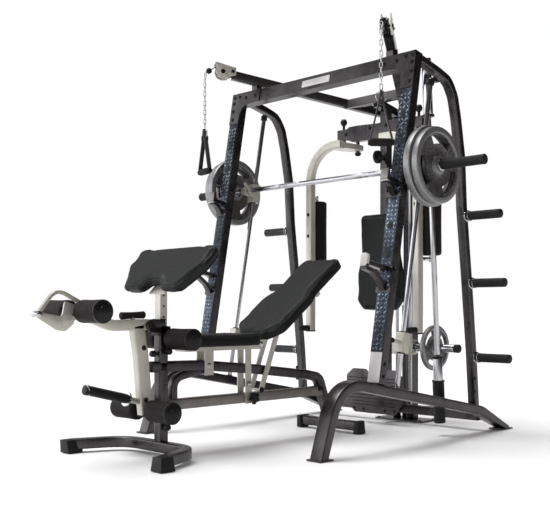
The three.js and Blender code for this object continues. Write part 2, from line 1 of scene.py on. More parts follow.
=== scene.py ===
"""Smith machine with cable crossover, pec arms and bench. Places are in millimetres of the machine's own
frame and turn into metres of the shared frame in place()."""
import bmesh
import bpy
import math
from mathutils import Matrix, Vector
from mathutils.bvhtree import BVHTree
from mathutils.kdtree import KDTree


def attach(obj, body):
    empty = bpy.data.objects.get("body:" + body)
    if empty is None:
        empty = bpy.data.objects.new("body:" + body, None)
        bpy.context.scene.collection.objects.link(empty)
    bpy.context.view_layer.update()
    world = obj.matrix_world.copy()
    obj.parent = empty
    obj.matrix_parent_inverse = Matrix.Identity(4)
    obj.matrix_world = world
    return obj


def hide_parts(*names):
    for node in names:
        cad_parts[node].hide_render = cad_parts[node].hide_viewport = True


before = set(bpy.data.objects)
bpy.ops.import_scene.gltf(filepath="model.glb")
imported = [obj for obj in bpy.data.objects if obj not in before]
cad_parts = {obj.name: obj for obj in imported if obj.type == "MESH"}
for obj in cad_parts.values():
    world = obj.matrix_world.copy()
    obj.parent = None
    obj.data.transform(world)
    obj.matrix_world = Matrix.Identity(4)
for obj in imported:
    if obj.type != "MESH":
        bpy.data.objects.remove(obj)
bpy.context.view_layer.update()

MM = 0.001
# Metres from the machine's own origin to the shared frame's, along Y.
SHIFT_Y = -0.1595
# How far the uprights lean back.
TILT = math.radians(10.3)
# Distance of the side frames from the middle, and of the guide rods from the middle and the upright's face.
FRAME_X = 637
GUIDE_X, GUIDE_BACK = 617, 215
SIDES = (("left", -1), ("right", 1))


def place(p):
    return Vector((p[0] * MM, p[1] * MM + SHIFT_Y, p[2] * MM))


def lean(x, back, up):
    """A point given beside the leaning upright: distance behind its front face and distance up it."""
    y = 258 + back * math.cos(TILT) + up * math.sin(TILT)
    return (x, y, 290 - back * math.sin(TILT) + up * math.cos(TILT))


# ------------------------------------------------------------------ camera
def make_camera():
    data = bpy.data.cameras.new("camera")
    data.sensor_width = 36
    data.lens = 58.63
    data.shift_y = 0.092
    data.clip_end = 100
    camera = bpy.data.objects.new("camera", data)
    camera.location = (3.328, -3.071 + SHIFT_Y, 0.681)
    camera.rotation_euler = (math.radians(90), 0, math.radians(45.15))
    bpy.context.scene.collection.objects.link(camera)
    bpy.context.scene.camera = camera


make_camera()


# ------------------------------------------------------------------ materials
def material(name, colour, metallic, roughness):
    """A node material with its colour, metallic and roughness set on its shader."""
    mat = bpy.data.materials.new(name)
    mat.use_nodes = True
    mat.diffuse_color = (*colour, 1)
    nodes = mat.node_tree.nodes
    shader = nodes["Principled BSDF"]
    shader.inputs["Base Color"].default_value = (*colour, 1)
    shader.inputs["Metallic"].default_value = metallic
    shader.inputs["Roughness"].default_value = roughness
    return mat, nodes, mat.node_tree.links, shader


def texture(nodes, links, kind, scale, stretch=(1, 1, 1), **settings):
    """A 3-D texture on object coordinates, in cycles per metre."""
    coordinate = nodes.new("ShaderNodeTexCoord")
    mapping = nodes.new("ShaderNodeMapping")
    mapping.inputs["Scale"].default_value = stretch
    links.new(coordinate.outputs["Object"], mapping.inputs["Vector"])
    tex = nodes.new(kind)
    links.new(mapping.outputs["Vector"], tex.inputs["Vector"])
    tex.inputs["Scale"].default_value = scale
    for key, value in settings.items():
        tex.inputs[key].default_value = value
    return tex


def spread(nodes, links, source, low, high, out_low, out_high):
    node = nodes.new("ShaderNodeMapRange")
    node.inputs["From Min"].default_value = low
    node.inputs["From Max"].default_value = high
    node.inputs["To Min"].default_value = out_low
    node.inputs["To Max"].default_value = out_high
    links.new(source, node.inputs["Value"])
    return node.outputs["Result"]


def tint(nodes, links, factor, dark, light, shader):
    mix = nodes.new("ShaderNodeMix")
    mix.data_type = "RGBA"
    mix.inputs[6].default_value = (*dark, 1)
    mix.inputs[7].default_value = (*light, 1)
    links.new(factor, mix.inputs[0])
    links.new(mix.outputs[2], shader.inputs["Base Color"])


def add_bump(nodes, links, shader, source, strength, distance, below=None):
    bump = nodes.new("ShaderNodeBump")
    bump.inputs["Strength"].default_value = strength
    bump.inputs["Distance"].default_value = distance
    links.new(source, bump.inputs["Height"])
    if below is not None:
        links.new(below.outputs["Normal"], bump.inputs["Normal"])
    links.new(bump.outputs["Normal"], shader.inputs["Normal"])
    return bump


def scaled(colour, factor):
    return tuple(min(1.0, c * factor) for c in colour)


def paint(name, colour, metallic, roughness, fleck=0.25, orange_peel=0.12, coat=0.0):
    mat, nodes, links, shader = material(name, colour, metallic, roughness)
    cloud = texture(nodes, links, "ShaderNodeTexNoise", 9, Detail=6, Roughness=0.6)
    grain = texture(nodes, links, "ShaderNodeTexNoise", 1400, Detail=2)
    both = nodes.new("ShaderNodeMath")
    both.operation = "MULTIPLY"
    links.new(cloud.outputs["Fac"], both.inputs[0])
    links.new(grain.outputs["Fac"], both.inputs[1])
    mixed = spread(nodes, links, both.outputs[0], 0.15, 0.4, 0, 1)
    tint(nodes, links, mixed, scaled(colour, 1 - fleck), scaled(colour, 1 + fleck), shader)
    links.new(spread(nodes, links, cloud.outputs["Fac"], 0.3, 0.7, roughness - 0.06, roughness + 0.08),
              shader.inputs["Roughness"])
    add_bump(nodes, links, shader, grain.outputs["Fac"], orange_peel, 0.0004)
    shader.inputs["Coat Weight"].default_value = coat
    shader.inputs["Coat Roughness"].default_value = 0.2
    return mat


def chrome_finish(name, colour, roughness):
    mat, nodes, links, shader = material(name, colour, 1.0, roughness)
    smear = texture(nodes, links, "ShaderNodeTexNoise", 14, stretch=(1, 1, 0.3), Detail=5)
    links.new(spread(nodes, links, smear.outputs["Fac"], 0.35, 0.75, roughness, roughness + 0.12),
              shader.inputs["Roughness"])
    tint(nodes, links, smear.outputs["Fac"], scaled(colour, 0.86), scaled(colour, 1.05), shader)
    return mat


def rubber_finish(name, colour, roughness, pores=900, depth=0.3):
    mat, nodes, links, shader = material(name, colour, 0.0, roughness)
    pore = texture(nodes, links, "ShaderNodeTexVoronoi", pores)
    cloud = texture(nodes, links, "ShaderNodeTexNoise", 22, Detail=5)
    tint(nodes, links, cloud.outputs["Fac"], scaled(colour, 0.6), scaled(colour, 1.5), shader)
    links.new(spread(nodes, links, cloud.outputs["Fac"], 0.3, 0.7, roughness - 0.08, roughness + 0.08),
              shader.inputs["Roughness"])
    add_bump(nodes, links, shader, pore.outputs["Distance"], depth, 0.0006)
    shader.inputs["Specular IOR Level"].default_value = 0.22
    return mat


def hammered_finish(name, colour, mottle):
    """Cast iron with dents; mottle says how far the colour is spread."""
    mat, nodes, links, shader = material(name, colour, 0.75, 0.42)
    dent = texture(nodes, links, "ShaderNodeTexVoronoi", 160)
    cloud = texture(nodes, links, "ShaderNodeTexNoise", 90, Detail=8, Roughness=0.7)
    speck = spread(nodes, links, cloud.outputs["Fac"], 0.38, 0.64, 0, 1)
    tint(nodes, links, speck, scaled(colour, 1 - mottle), scaled(colour, 1 + 1.6 * mottle), shader)
    links.new(spread(nodes, links, cloud.outputs["Fac"], 0.3, 0.7, 0.34, 0.52), shader.inputs["Roughness"])
    add_bump(nodes, links, shader, dent.outputs["Distance"], 0.28, 0.0012)
    return mat


def vinyl_finish(name, colour):
    mat, nodes, links, shader = material(name, colour, 0.0, 0.5)
    leather = texture(nodes, links, "ShaderNodeTexVoronoi", 620)
    crease = texture(nodes, links, "ShaderNodeTexNoise", 60, Detail=8, Roughness=0.65)
    cloud = texture(nodes, links, "ShaderNodeTexNoise", 7, Detail=4)
    tint(nodes, links, cloud.outputs["Fac"], scaled(colour, 0.75), scaled(colour, 1.3), shader)
    links.new(spread(nodes, links, crease.outputs["Fac"], 0.3, 0.7, 0.42, 0.6), shader.inputs["Roughness"])
    wide = add_bump(nodes, links, shader, crease.outputs["Fac"], 0.18, 0.0015)
    add_bump(nodes, links, shader, leather.outputs["Distance"], 0.35, 0.0004, below=wide)
    shader.inputs["Specular IOR Level"].default_value = 0.2
    return mat


def tread_finish(name, dark, light):
    """Rolled steel with streaks and bright rubbed spots."""
    mat, nodes, links, shader = material(name, light, 0.85, 0.3)
    streak = texture(nodes, links, "ShaderNodeTexNoise", 45, stretch=(1, 1, 0.35), Detail=8, Roughness=0.75)
    spots = texture(nodes, links, "ShaderNodeTexVoronoi", 130)
    blend = nodes.new("ShaderNodeMath")
    blend.operation = "MULTIPLY"
    links.new(streak.outputs["Fac"], blend.inputs[0])
    links.new(spots.outputs["Distance"], blend.inputs[1])
    wear = texture(nodes, links, "ShaderNodeTexNoise", 3.2, Detail=2)
    patchy = nodes.new("ShaderNodeMath")
    patchy.operation = "MULTIPLY"
    links.new(spread(nodes, links, blend.outputs[0], 0.08, 0.32, 0, 1), patchy.inputs[0])
    links.new(spread(nodes, links, wear.outputs["Fac"], 0.36, 0.6, 0.12, 1), patchy.inputs[1])
    tint(nodes, links, patchy.outputs[0], dark, light, shader)
    links.new(spread(nodes, links, streak.outputs["Fac"], 0.35, 0.65, 0.22, 0.42), shader.inputs["Roughness"])
    add_bump(nodes, links, shader, streak.outputs["Fac"], 0.2, 0.0008)
    return mat


def webbing_finish(name, colour):
    mat, nodes, links, shader = material(name, colour, 0.0, 0.85)
    weave = texture(nodes, links, "ShaderNodeTexWave", 260, Distortion=1.5)
    tint(nodes, links, weave.outputs["Fac"], scaled(colour, 0.5), scaled(colour, 1.8), shader)
    add_bump(nodes, links, shader, weave.outputs["Fac"], 0.5, 0.0008)
    shader.inputs["Sheen Weight"].default_value = 0.3
    return mat


CHARCOAL = paint("charcoal_paint", (0.072, 0.067, 0.068), 0.9, 0.27, fleck=0.35, coat=0.05)
CHAMPAGNE = paint("champagne_paint", (0.55, 0.535, 0.47), 0.4, 0.38, fleck=0.12, coat=0.2)
# The plate between the tread bars is the same rolled steel as the bars, painted far darker as shade between
# them.
STEEL_PLATE_PAINTED_SHADE = tread_finish("bare_tread_plate_painted_shade", (0.006, 0.007, 0.010), (0.075, 0.095, 0.125))
TREAD_BAR = tread_finish("bare_tread_bars", (0.02, 0.024, 0.032), (0.44, 0.49, 0.56))
SILVER = paint("silver_paint", (0.50, 0.49, 0.49), 0.4, 0.4, fleck=0.1)
BEAM_GREY = paint("warm_grey_paint", (0.24, 0.22, 0.205), 0.55, 0.36, fleck=0.25)
CHROME = chrome_finish("polished_chrome", (0.50, 0.50, 0.52), 0.1)
IRON = hammered_finish("hammered_iron", (0.115, 0.112, 0.112), 0.5)
RIM = hammered_finish("worn_iron_rim", (0.25, 0.25, 0.255), 0.16)
RUBBER = rubber_finish("black_rubber", (0.010, 0.010, 0.0105), 0.5)
FOAM = rubber_finish("roller_foam", (0.0075, 0.0048, 0.0048), 0.66, pores=420, depth=0.5)
VINYL = vinyl_finish("stitched_vinyl", (0.0085, 0.0098, 0.0095))
PIPING = vinyl_finish("vinyl_seam", (0.014, 0.016, 0.016))
WEBBING = webbing_finish("black_webbing", (0.014, 0.014, 0.015))
BLACK = rubber_finish("black_plastic", (0.007, 0.007, 0.0075), 0.34, pores=1500, depth=0.1)


# ------------------------------------------------------------------ shapes
class Shape:
    """Vertices in machine millimetres, and faces, gathered from several solids."""

    def __init__(self):
        self.vertices = []
        self.faces = []

    def add(self, vertices, faces):
        base = len(self.vertices)
        self.vertices += [Vector(v) for v in vertices]
        self.faces += [[i + base for i in face] for face in faces]
        return self

    def merge(self, other):
        return self.add(other.vertices, other.faces)

    def moved(self, matrix):
        self.vertices = [matrix @ v for v in self.vertices]
        return self

    def mirrored(self, side):
        if side < 0:
            self.vertices = [Vector((-v.x, v.y, v.z)) for v in self.vertices]
            self.faces = [face[::-1] for face in self.faces]
        return self


def together(*shapes):
    whole = Shape()
    for shape in shapes:
        whole.merge(shape)
    return whole


def loft(rings, closed=False):
    """Skin over rings of equal length; the ends are capped unless the loft closes on itself."""
    count = len(rings[0])
    vertices = [v for ring in rings for v in ring]
    faces = []
    last = len(rings) if closed else len(rings) - 1
    for r in range(last):
        a, b = r * count, ((r + 1) % len(rings)) * count
        for i in range(count):
            j = (i + 1) % count
            faces.append([a + i, a + j, b + j, b + i])
    if not closed:
        faces.append(list(range(count))[::-1])
        faces.append([(len(rings) - 1) * count + i for i in range(count)])
    return Shape().add(vertices, faces)


def rounded_rectangle(wide, high, radius, steps=4):
    points = []
    for cx, cy, start in ((1, 1, 0), (-1, 1, 90), (-1, -1, 180), (1, -1, 270)):
        for i in range(steps + 1):
            angle = math.radians(start + 90 * i / steps)
            points.append((cx * (wide / 2 - radius) + radius * math.cos(angle),
                           cy * (high / 2 - radius) + radius * math.sin(angle)))
    return points


def circle(radius, count=24):
    return [(radius * math.cos(2 * math.pi * i / count), radius * math.sin(2 * math.pi * i / count))
            for i in range(count)]


def smooth_corners(points, radius, steps=10):
    """Polyline whose inner corners are rounded; works for 2-D and 3-D points."""
    points = [Vector(p) for p in points]
    path = [points[0]]
    for before, corner, after in zip(points, points[1:], points[2:]):
        back, ahead = before - corner, after - corner
        turn = math.pi - back.angle(ahead)
        reach = min(radius * math.tan(turn / 2), 0.48 * min(back.length, ahead.length))
        start, end = corner + back.normalized() * reach, corner + ahead.normalized() * reach
        for i in range(steps + 1):
            t = i / steps
            path.append(start * (1 - t) ** 2 + corner * 2 * t * (1 - t) + end * t ** 2)
    path.append(points[-1])
    return path


def sweep(path, profile, across=None, closed=False):
    """Profile carried along a path. across fixes the profile's first direction; otherwise it is carried."""
    path = [Vector(p) for p in path]
    rings = []
    carried = None
    for i, here in enumerate(path):
        if closed:
            along = (path[(i + 1) % len(path)] - path[i - 1]).normalized()
        else:
            along = (path[min(i + 1, len(path) - 1)] - path[max(i - 1, 0)]).normalized()
        if across is not None:
            first = Vector(across)
        elif carried is None:
            first = along.orthogonal()
        else:
            first = carried
        first = (first - along * first.dot(along)).normalized()
        carried = first
        second = along.cross(first)
        rings.append([here + first * a + second * b for a, b in profile])
    return loft(rings, closed)


def turned(start, end, profile, count=32):
    """Solid of revolution: profile is (distance from start, radius) pairs along start to end."""
    start, end = Vector(start), Vector(end)
    along = (end - start).normalized()
    first = along.orthogonal().normalized()
    second = along.cross(first)
    rings = []
    for distance, radius in profile:
        ring = []
        for a, b in circle(max(radius, 0.05), count):
            ring.append(start + along * distance + first * a + second * b)
        rings.append(ring)
    return loft(rings)


def rod(start, end, radius, soft=1.5, count=24):
    length = (Vector(end) - Vector(start)).length
    soft = min(soft, radius * 0.9, length * 0.45)
    return turned(start, end, [(0, radius - soft), (soft * 0.3, radius - soft * 0.3), (soft, radius),
                               (length - soft, radius), (length - soft * 0.3, radius - soft * 0.3),
                               (length, radius - soft)], count)


def block(x, y, z):
    corners = [(x[i], y[j], z[k]) for i in (0, 1) for j in (0, 1) for k in (0, 1)]
    faces = [[0, 1, 3, 2], [4, 6, 7, 5], [0, 4, 5, 1], [2, 3, 7, 6], [0, 2, 6, 4], [1, 5, 7, 3]]
    return Shape().add(corners, faces)


def slab(outline, low, high, axis):
    """Outline extruded along an axis: "x" takes (y, z) pairs, "y" takes (x, z) and "z" takes (x, y)."""
    def corner(a, b, c):
        return {"x": (c, a, b), "y": (a, c, b), "z": (a, b, c)}[axis]
    return loft([[corner(a, b, low) for a, b in outline], [corner(a, b, high) for a, b in outline]])


def rounded_slab(corners, radius, steps, low, high, axis):
    """Extruded outline with rounded corners; the last of the given corners closes it on the first."""
    outline = smooth_corners(corners, radius, steps)[1:]
    return slab([(p.x, p.y) for p in outline], low, high, axis)


def tube(path, wide, high, corner, across=(1, 0, 0)):
    """Rectangular tube along a path."""
    return sweep(path, rounded_rectangle(wide, high, corner), across=across)


def on_upright(shape):
    turn = Matrix.Translation((0, 258, 290)) @ Matrix.Rotation(-TILT, 4, "X")
    return shape.moved(turn)


def shade_smooth(mesh):
    mesh.polygons.foreach_set("use_smooth", [True] * len(mesh.polygons))


def make(name, shape, mat, body, replaces=(), bevel=0.0, sharp=38, bevel_steps=2):
    """Builds the mesh, rounds its edges, shades it and lets it ride on a body."""
    mesh = bpy.data.meshes.new(name)
    mesh.from_pydata([place(v) for v in shape.vertices], [], shape.faces)
    bm = bmesh.new()
    bm.from_mesh(mesh)
    bmesh.ops.remove_doubles(bm, verts=bm.verts, dist=1e-6)
    bmesh.ops.recalc_face_normals(bm, faces=bm.faces)
    if bevel:
        limit = math.radians(30)
        edges = [e for e in bm.edges if len(e.link_faces) == 2 and e.calc_face_angle(0) > limit]
        bmesh.ops.bevel(bm, geom=edges, offset=bevel * MM, segments=bevel_steps, profile=0.6,
                        affect="EDGES", clamp_overlap=True)
    bm.to_mesh(mesh)
    bm.free()
    mesh.materials.append(mat)
    shade_smooth(mesh)
    mesh.set_sharp_from_angle(angle=math.radians(sharp))
    obj = bpy.data.objects.new(name, mesh)
    bpy.context.scene.collection.objects.link(obj)
    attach(obj, body)
    if replaces:
        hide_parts(*replaces)
    return obj


def dress(node, mat, bevel=2.0):
    """Keeps a CAD node and gives it a finish and softened edges."""
    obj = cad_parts[node]
    obj.data.materials.clear()
    obj.data.materials.append(mat)
    shade_smooth(obj.data)
    weld = obj.modifiers.new("weld", "WELD")
    weld.merge_threshold = 0.00002
    soften = obj.modifiers.new("soften", "BEVEL")
    soften.width = bevel * MM
    soften.segments = 2
    soften.limit_method = "ANGLE"
    soften.angle_limit = math.radians(40)
    normals = obj.modifiers.new("normals", "WEIGHTED_NORMAL")
    normals.keep_sharp = False


def bolt(at, facing, radius=9, height=6):
    """Hexagon head on a washer, standing on a surface."""
    at, facing = Vector(at), Vector(facing).normalized()
    washer = rod(at - facing, at + facing * 1.6, radius * 1.35, 0.5)
    profile = [(0, radius), (height * 0.75, radius), (height, radius * 0.82)]
    return together(washer, turned(at, at + facing * height, profile, 6))


def bolt_pairs(*rows):
    """Bolts that face left and right, mirrored about the middle, from (x, y, z, radius, height) rows."""
    heads = Shape()
    for x, y, z, radius, height in rows:
        for side in (-1, 1):
            heads.merge(bolt((side * x, y, z), (side, 0, 0), radius, height))
    return heads


def knob(at, facing, radius=15, height=26):
    """Pull knob of a pop pin on its collar."""
    at, facing = Vector(at), Vector(facing).normalized()
    profile = [(0, 6), (8, 6), (9, radius * 0.75), (12, radius), (height - 6, radius)]
    profile += [(height - 1, radius * 0.8), (height, radius * 0.4)]
    return turned(at, at + facing, profile, 24)


# ------------------------------------------------------------------ side frames
BASE_PATH = smooth_corners([(-118, -4), (0, 348), (1166, 123), (1424, -4)], 200, 18)
REAR_PATH = smooth_corners([(600, 1942), (780, 1900), (875, 1872), (928, 1795), (958, 1680), (996, 1480),
                            (1012, 1218), (1058, 851), (1105, 437), (1130, 148)], 110, 8)
PEG_SPOTS = ((1024, 1172), (1068, 815), (1114, 414))
HOLES = range(520, 1600, 143)
TREAD_LOW, TREAD_HIGH = 186, 1506


def in_plane(path, x):
    return [(x, y, z) for y, z in path]


def base_tube(side):
    bent = tube(in_plane(BASE_PATH, FRAME_X), 76, 50, 7)
    for v in bent.vertices:
        v.z = max(v.z, 0.5)
    across = (FRAME_X - 44, FRAME_X + 44)
    feet = together(block(across, (-155, -68), (0, 7)), block(across, (1352, 1462), (0, 7)))
    return bent.mirrored(side), feet.mirrored(side)


def lozenge(x, up, angle, long=27, wide=8.5, high=2.6):
    """One raised bar of the tread pattern on the upright's front face."""
    c, s = math.cos(angle), math.sin(angle)
    front = -3.2
    outline = [(long / 2, 0), (0, wide / 2), (-long / 2, 0), (0, -wide / 2)]
    ring = [(x + a * c - b * s, front, up + a * s + b * c) for a, b in outline]
    top = [(x + 0.55 * (a * c - b * s), front - high, up + 0.55 * (a * s + b * c)) for a, b in outline]
    return loft([ring, top])


def tread(side):
    plate = block((FRAME_X - 35, FRAME_X + 35), (-3.4, -0.4), (TREAD_LOW, TREAD_HIGH))
    bars = Shape()
    row = 0
    up = TREAD_LOW + 14
    while up < TREAD_HIGH - 12:
        for column in (-1, 0, 1):
            x = FRAME_X + 22 * column
            near_hole = any(math.hypot(x - FRAME_X, up - hole) < 24 for hole in HOLES)
            if not near_hole:
                angle = math.radians(45 if (row + column) % 2 else -45)
                bars.merge(lozenge(x, up, angle))
        up += 22
        row += 1
    return on_upright(plate.mirrored(side)), on_upright(bars.mirrored(side))


def build_side(label, side):
    x = side * FRAME_X
    base, feet = base_tube(side)
    make(f"base_tube_{label}", base, CHARCOAL, "frame", replaces=(f"base_{label}",))
    make(f"base_feet_{label}", feet, CHARCOAL, "frame", bevel=1.2)
    dress(f"upright_{label}", CHARCOAL, 3)
    plate, bars = tread(side)
    # The plate's dark colour is painted shade between the raised bars.
    make(f"tread_plate_{label}", plate, STEEL_PLATE_PAINTED_SHADE, "frame", bevel=0.6)
    make(f"tread_bars_{label}", bars, TREAD_BAR, "frame", sharp=20)
    lower = on_upright(block((FRAME_X - 35, FRAME_X + 35), (-2.4, -0.4), (38, TREAD_LOW - 2)).mirrored(side))
    make(f"kick_plate_{label}", lower, SILVER, "frame", bevel=0.8)
    plugs = together(*[rod((x, -4.2, up), (x, -1, up), 17, 0.3) for up in HOLES])
    make(f"hole_plugs_{label}", on_upright(plugs), RUBBER, "frame")
    rear = tube(in_plane(REAR_PATH, x), 50, 38, 6)
    make(f"rear_tube_shell_{label}", rear, CHARCOAL, "frame", replaces=(f"rear_tube_{label}",))
    for number, (y, z) in enumerate(PEG_SPOTS):
        build_peg(f"{label}_{number}", side, y, z)
    guide = (side * GUIDE_X, GUIDE_BACK)
    shell = rod(lean(*guide, 4), lean(*guide, 1640), 12.5, 1, 32)
    make(f"guide_rod_shell_{label}", shell, CHROME, "frame", replaces=(f"guide_rod_{label}",))
    boots = together(*[rod(lean(*guide, up), lean(*guide, up + 28), 19, 3) for up in (6, 1606)])
    make(f"rod_boots_{label}", boots, RUBBER, "frame")
    joints = Shape()
    for y, z in ((1098, 300), (1098, 230), (700, 1918), (924, 1790)):
        joints.merge(bolt((x + side * 25, y, z), (side, 0, 0), 8, 6))
    for up in (70, 130):
        joints.merge(on_upright(bolt((side * 675, 25, up), (side, 0, 0), 8, 6)))
    make(f"frame_bolts_{label}", joints, BLACK, "frame", bevel=0.4)


def build_peg(label, side, y, z):
    x = side * FRAME_X
    sleeve = turned((x + side * 31, y, z), (x + side * 234, y, z), [
        (0, 23), (2, 25), (18, 25), (20, 24), (195, 24), (199, 23), (202, 20), (203, 15)], 32)
    make(f"peg_sleeve_{label}", sleeve, RUBBER, "frame")
    profile = [(0, 28), (1.5, 31), (6, 31), (8, 27), (9, 15)]
    collar = turned((x + side * 25, y, z), (x + side * 40, y, z), profile, 32)
    make(f"peg_collar_{label}", collar, CHROME, "frame")
    ring_path = [(x + side * 46, y + 27.5 * math.cos(a), z + 27.5 * math.sin(a))
                 for a in [math.radians(20 * i + 100) for i in range(17)]]
    ring_path.append((x + side * 46, y + 44, z - 14))
    make(f"peg_clip_{label}", sweep(ring_path, circle(1.6, 8)), CHROME, "frame")


def build_crossbar():
    dress("top_crossbar", CHARCOAL, 3)
    heads = Shape()
    spots = ((478, 1662), (556, 1662), (612, 1676), (655, 1676), (655, 1640), (655, 1590), (650, 1540))
    for side in (-1, 1):
        for x, up in spots:
            heads.merge(on_upright(bolt((side * x, -6.4, up), (0, -1, 0), 9, 6)))
    make("gusset_bolts", heads, BLACK, "frame", bevel=0.4)
    plate = slab(rounded_rectangle(205, 38, 7), 0, 1.2, "y").moved(Matrix.Translation((0, -2.4, 1662)))
    make("blank_name_plate", on_upright(plate), SILVER, "frame", bevel=0.3)


# The right crossover arm from its tip to the mast, its heading seen from above, and its pulley.
ARM_FRONT, ARM_REAR = (574, 462, 2045), (0, 1385, 1840)
HEADING = Vector((0.528, -0.849, 0))
PULLEY = Vector((607, 409, 2062))


def at_pulley(shape, side):
    """Turns a shape whose X runs along the arm's heading so that it sits at the pulley."""
    turn = Matrix.Rotation(math.atan2(HEADING.y, HEADING.x), 4, "Z")
    return shape.moved(Matrix.Translation(PULLEY) @ turn).mirrored(side)


def build_crossover(label, side):
    along = (Vector(ARM_FRONT) - Vector(ARM_REAR)).normalized()
    across = along.cross(Vector((0, 0, 1))).normalized()
    shorter = Vector(ARM_REAR) + along * 32
    arm = tube([shorter, ARM_FRONT], 50, 50, 6, across).mirrored(side)
    make(f"crossover_tube_{label}", arm, CHARCOAL, "frame", replaces=(f"crossover_{label}",))
    tip = Vector(ARM_FRONT)
    cap = tube([tip - along * 2, tip + along * 4], 51, 51, 6, across).mirrored(side)
    make(f"crossover_cap_{label}", cap, BLACK, "frame", bevel=1.5)
    corners = [(-78, -20), (-38, -30), (-28, -40), (0, -44), (30, -34), (44, -4), (38, 30), (50, 44),
               (38, 54), (-12, 40), (-78, 24)]
    outline = [(p.x, p.y) for p in smooth_corners(corners, 14, 6)]
    cheeks = together(slab(outline, -26, -20, "y"), slab(outline, 20, 26, "y"))
    make(f"pulley_cheeks_{label}", at_pulley(cheeks, side), CHAMPAGNE, "frame", bevel=0.8)
    axle = rod((0, -33, 0), (0, 33, 0), 7.5, 1)
    for face in (-1, 1):
        axle.merge(bolt((0, face * 26, 0), (0, face, 0), 10, 7))
        axle.merge(bolt((-58, face * 26, 2), (0, face, 0), 8, 6))
    make(f"pulley_axle_{label}", at_pulley(axle, side), BLACK, "frame", bevel=0.4)
    wheel = turned((0, -10, 0), (0, 10, 0), [
        (0, 12), (0.5, 37), (2, 38), (4, 37.5), (9, 31), (11, 31), (16, 37.5), (18, 38), (19.5, 37),
        (20, 12)], 48)
    make(f"pulley_wheel_{label}", at_pulley(wheel, side), BLACK, f"wheel_{label}",
         replaces=(f"pulley_{label}",))


for SIDE_LABEL, SIDE_SIGN in SIDES:
    build_side(SIDE_LABEL, SIDE_SIGN)
    build_crossover(SIDE_LABEL, SIDE_SIGN)
build_crossbar()


# ------------------------------------------------------------------ mast and pec station
# Y and Z of the pulley on the mast and of the weight carriage, then Y of the pec arms.
MID_PULLEY = (1097, 1575)
STACK_Y, STACK_Z = 1350, 445
PEC_Y = 945


def build_mast():
    dress("mast", CHARCOAL, 3)
    dress("cross_tube", CHARCOAL, 3)
    right = [(0, 61), (150, 61), (210, 136), (210, 281), (160, 321), (60, 321), (35, 291)]
    board = rounded_slab(right + [(-x, z) for x, z in reversed(right)], 26, 6, 1060, 1068, "y")
    stem = block((-25, 25), (1067, 1150.5), (166, 216))
    make("footplate_board", together(board, stem), CHARCOAL, "frame", replaces=("footplate",), bevel=1.5)
    y, z = MID_PULLEY
    wheel = turned((-8, y, z), (8, y, z), [
        (0, 27), (0.5, 36), (1.5, 38.5), (3, 38), (6, 33), (10, 33), (13, 38), (14.5, 38.5), (15.5, 36),
        (16, 27)], 48)
    wheel.merge(turned((-8, y, z), (8, y, z), [(0, 6), (0.5, 14), (15.5, 14), (16, 6)], 32))
    for i in range(6):
        a = math.radians(60 * i)
        spoke = [(0, y + reach * math.cos(a), z + reach * math.sin(a)) for reach in (10, 30)]
        wheel.merge(tube(spoke, 9, 7, 2))
    make("mid_pulley_wheel", wheel, BLACK, "frame")
    heads = bolt_pairs((14, y, z, 9, 6))
    for x in (-150, -80, 80, 150):
        heads.merge(bolt((x, 1060, 84), (0, -1, 0), 8, 5))
    for z in (140, 1700, 1730):
        heads.merge(bolt((25, 1176, z), (1, 0, 0), 8, 6))
        heads.merge(bolt((25, 1405, z), (1, 0, 0), 8, 6))
    for x in (-155, 155):
        for y in (1305, 1435):
            heads.merge(bolt((x, y, 8), (0, 0, 1), 8, 5))
    make("mast_bolts", heads, BLACK, "frame", bevel=0.4)
    tread_lines = Shape()
    for i in range(9):
        z = 106 + 20 * i
        half = 196 if 136 < z < 281 else 160
        tread_lines.merge(block((-half, half), (1056.5, 1061), (z, z + 5)))
    make("footplate_grip", tread_lines, RUBBER, "frame", bevel=1)
    for label, side in SIDES:
        x, y = side * 50, STACK_Y
        shell = rod((x, y, 10), (x, y, 1794), 10, 1, 28)
        make(f"carriage_rod_shell_{label}", shell, CHROME, "frame", replaces=(f"carriage_rod_{label}",))
        bumper = turned((x, y, 8), (x, y, 60), [(0, 22), (3, 24), (45, 21), (50, 18), (52, 14)], 28)
        make(f"carriage_bumper_{label}", bumper, RUBBER, "frame")


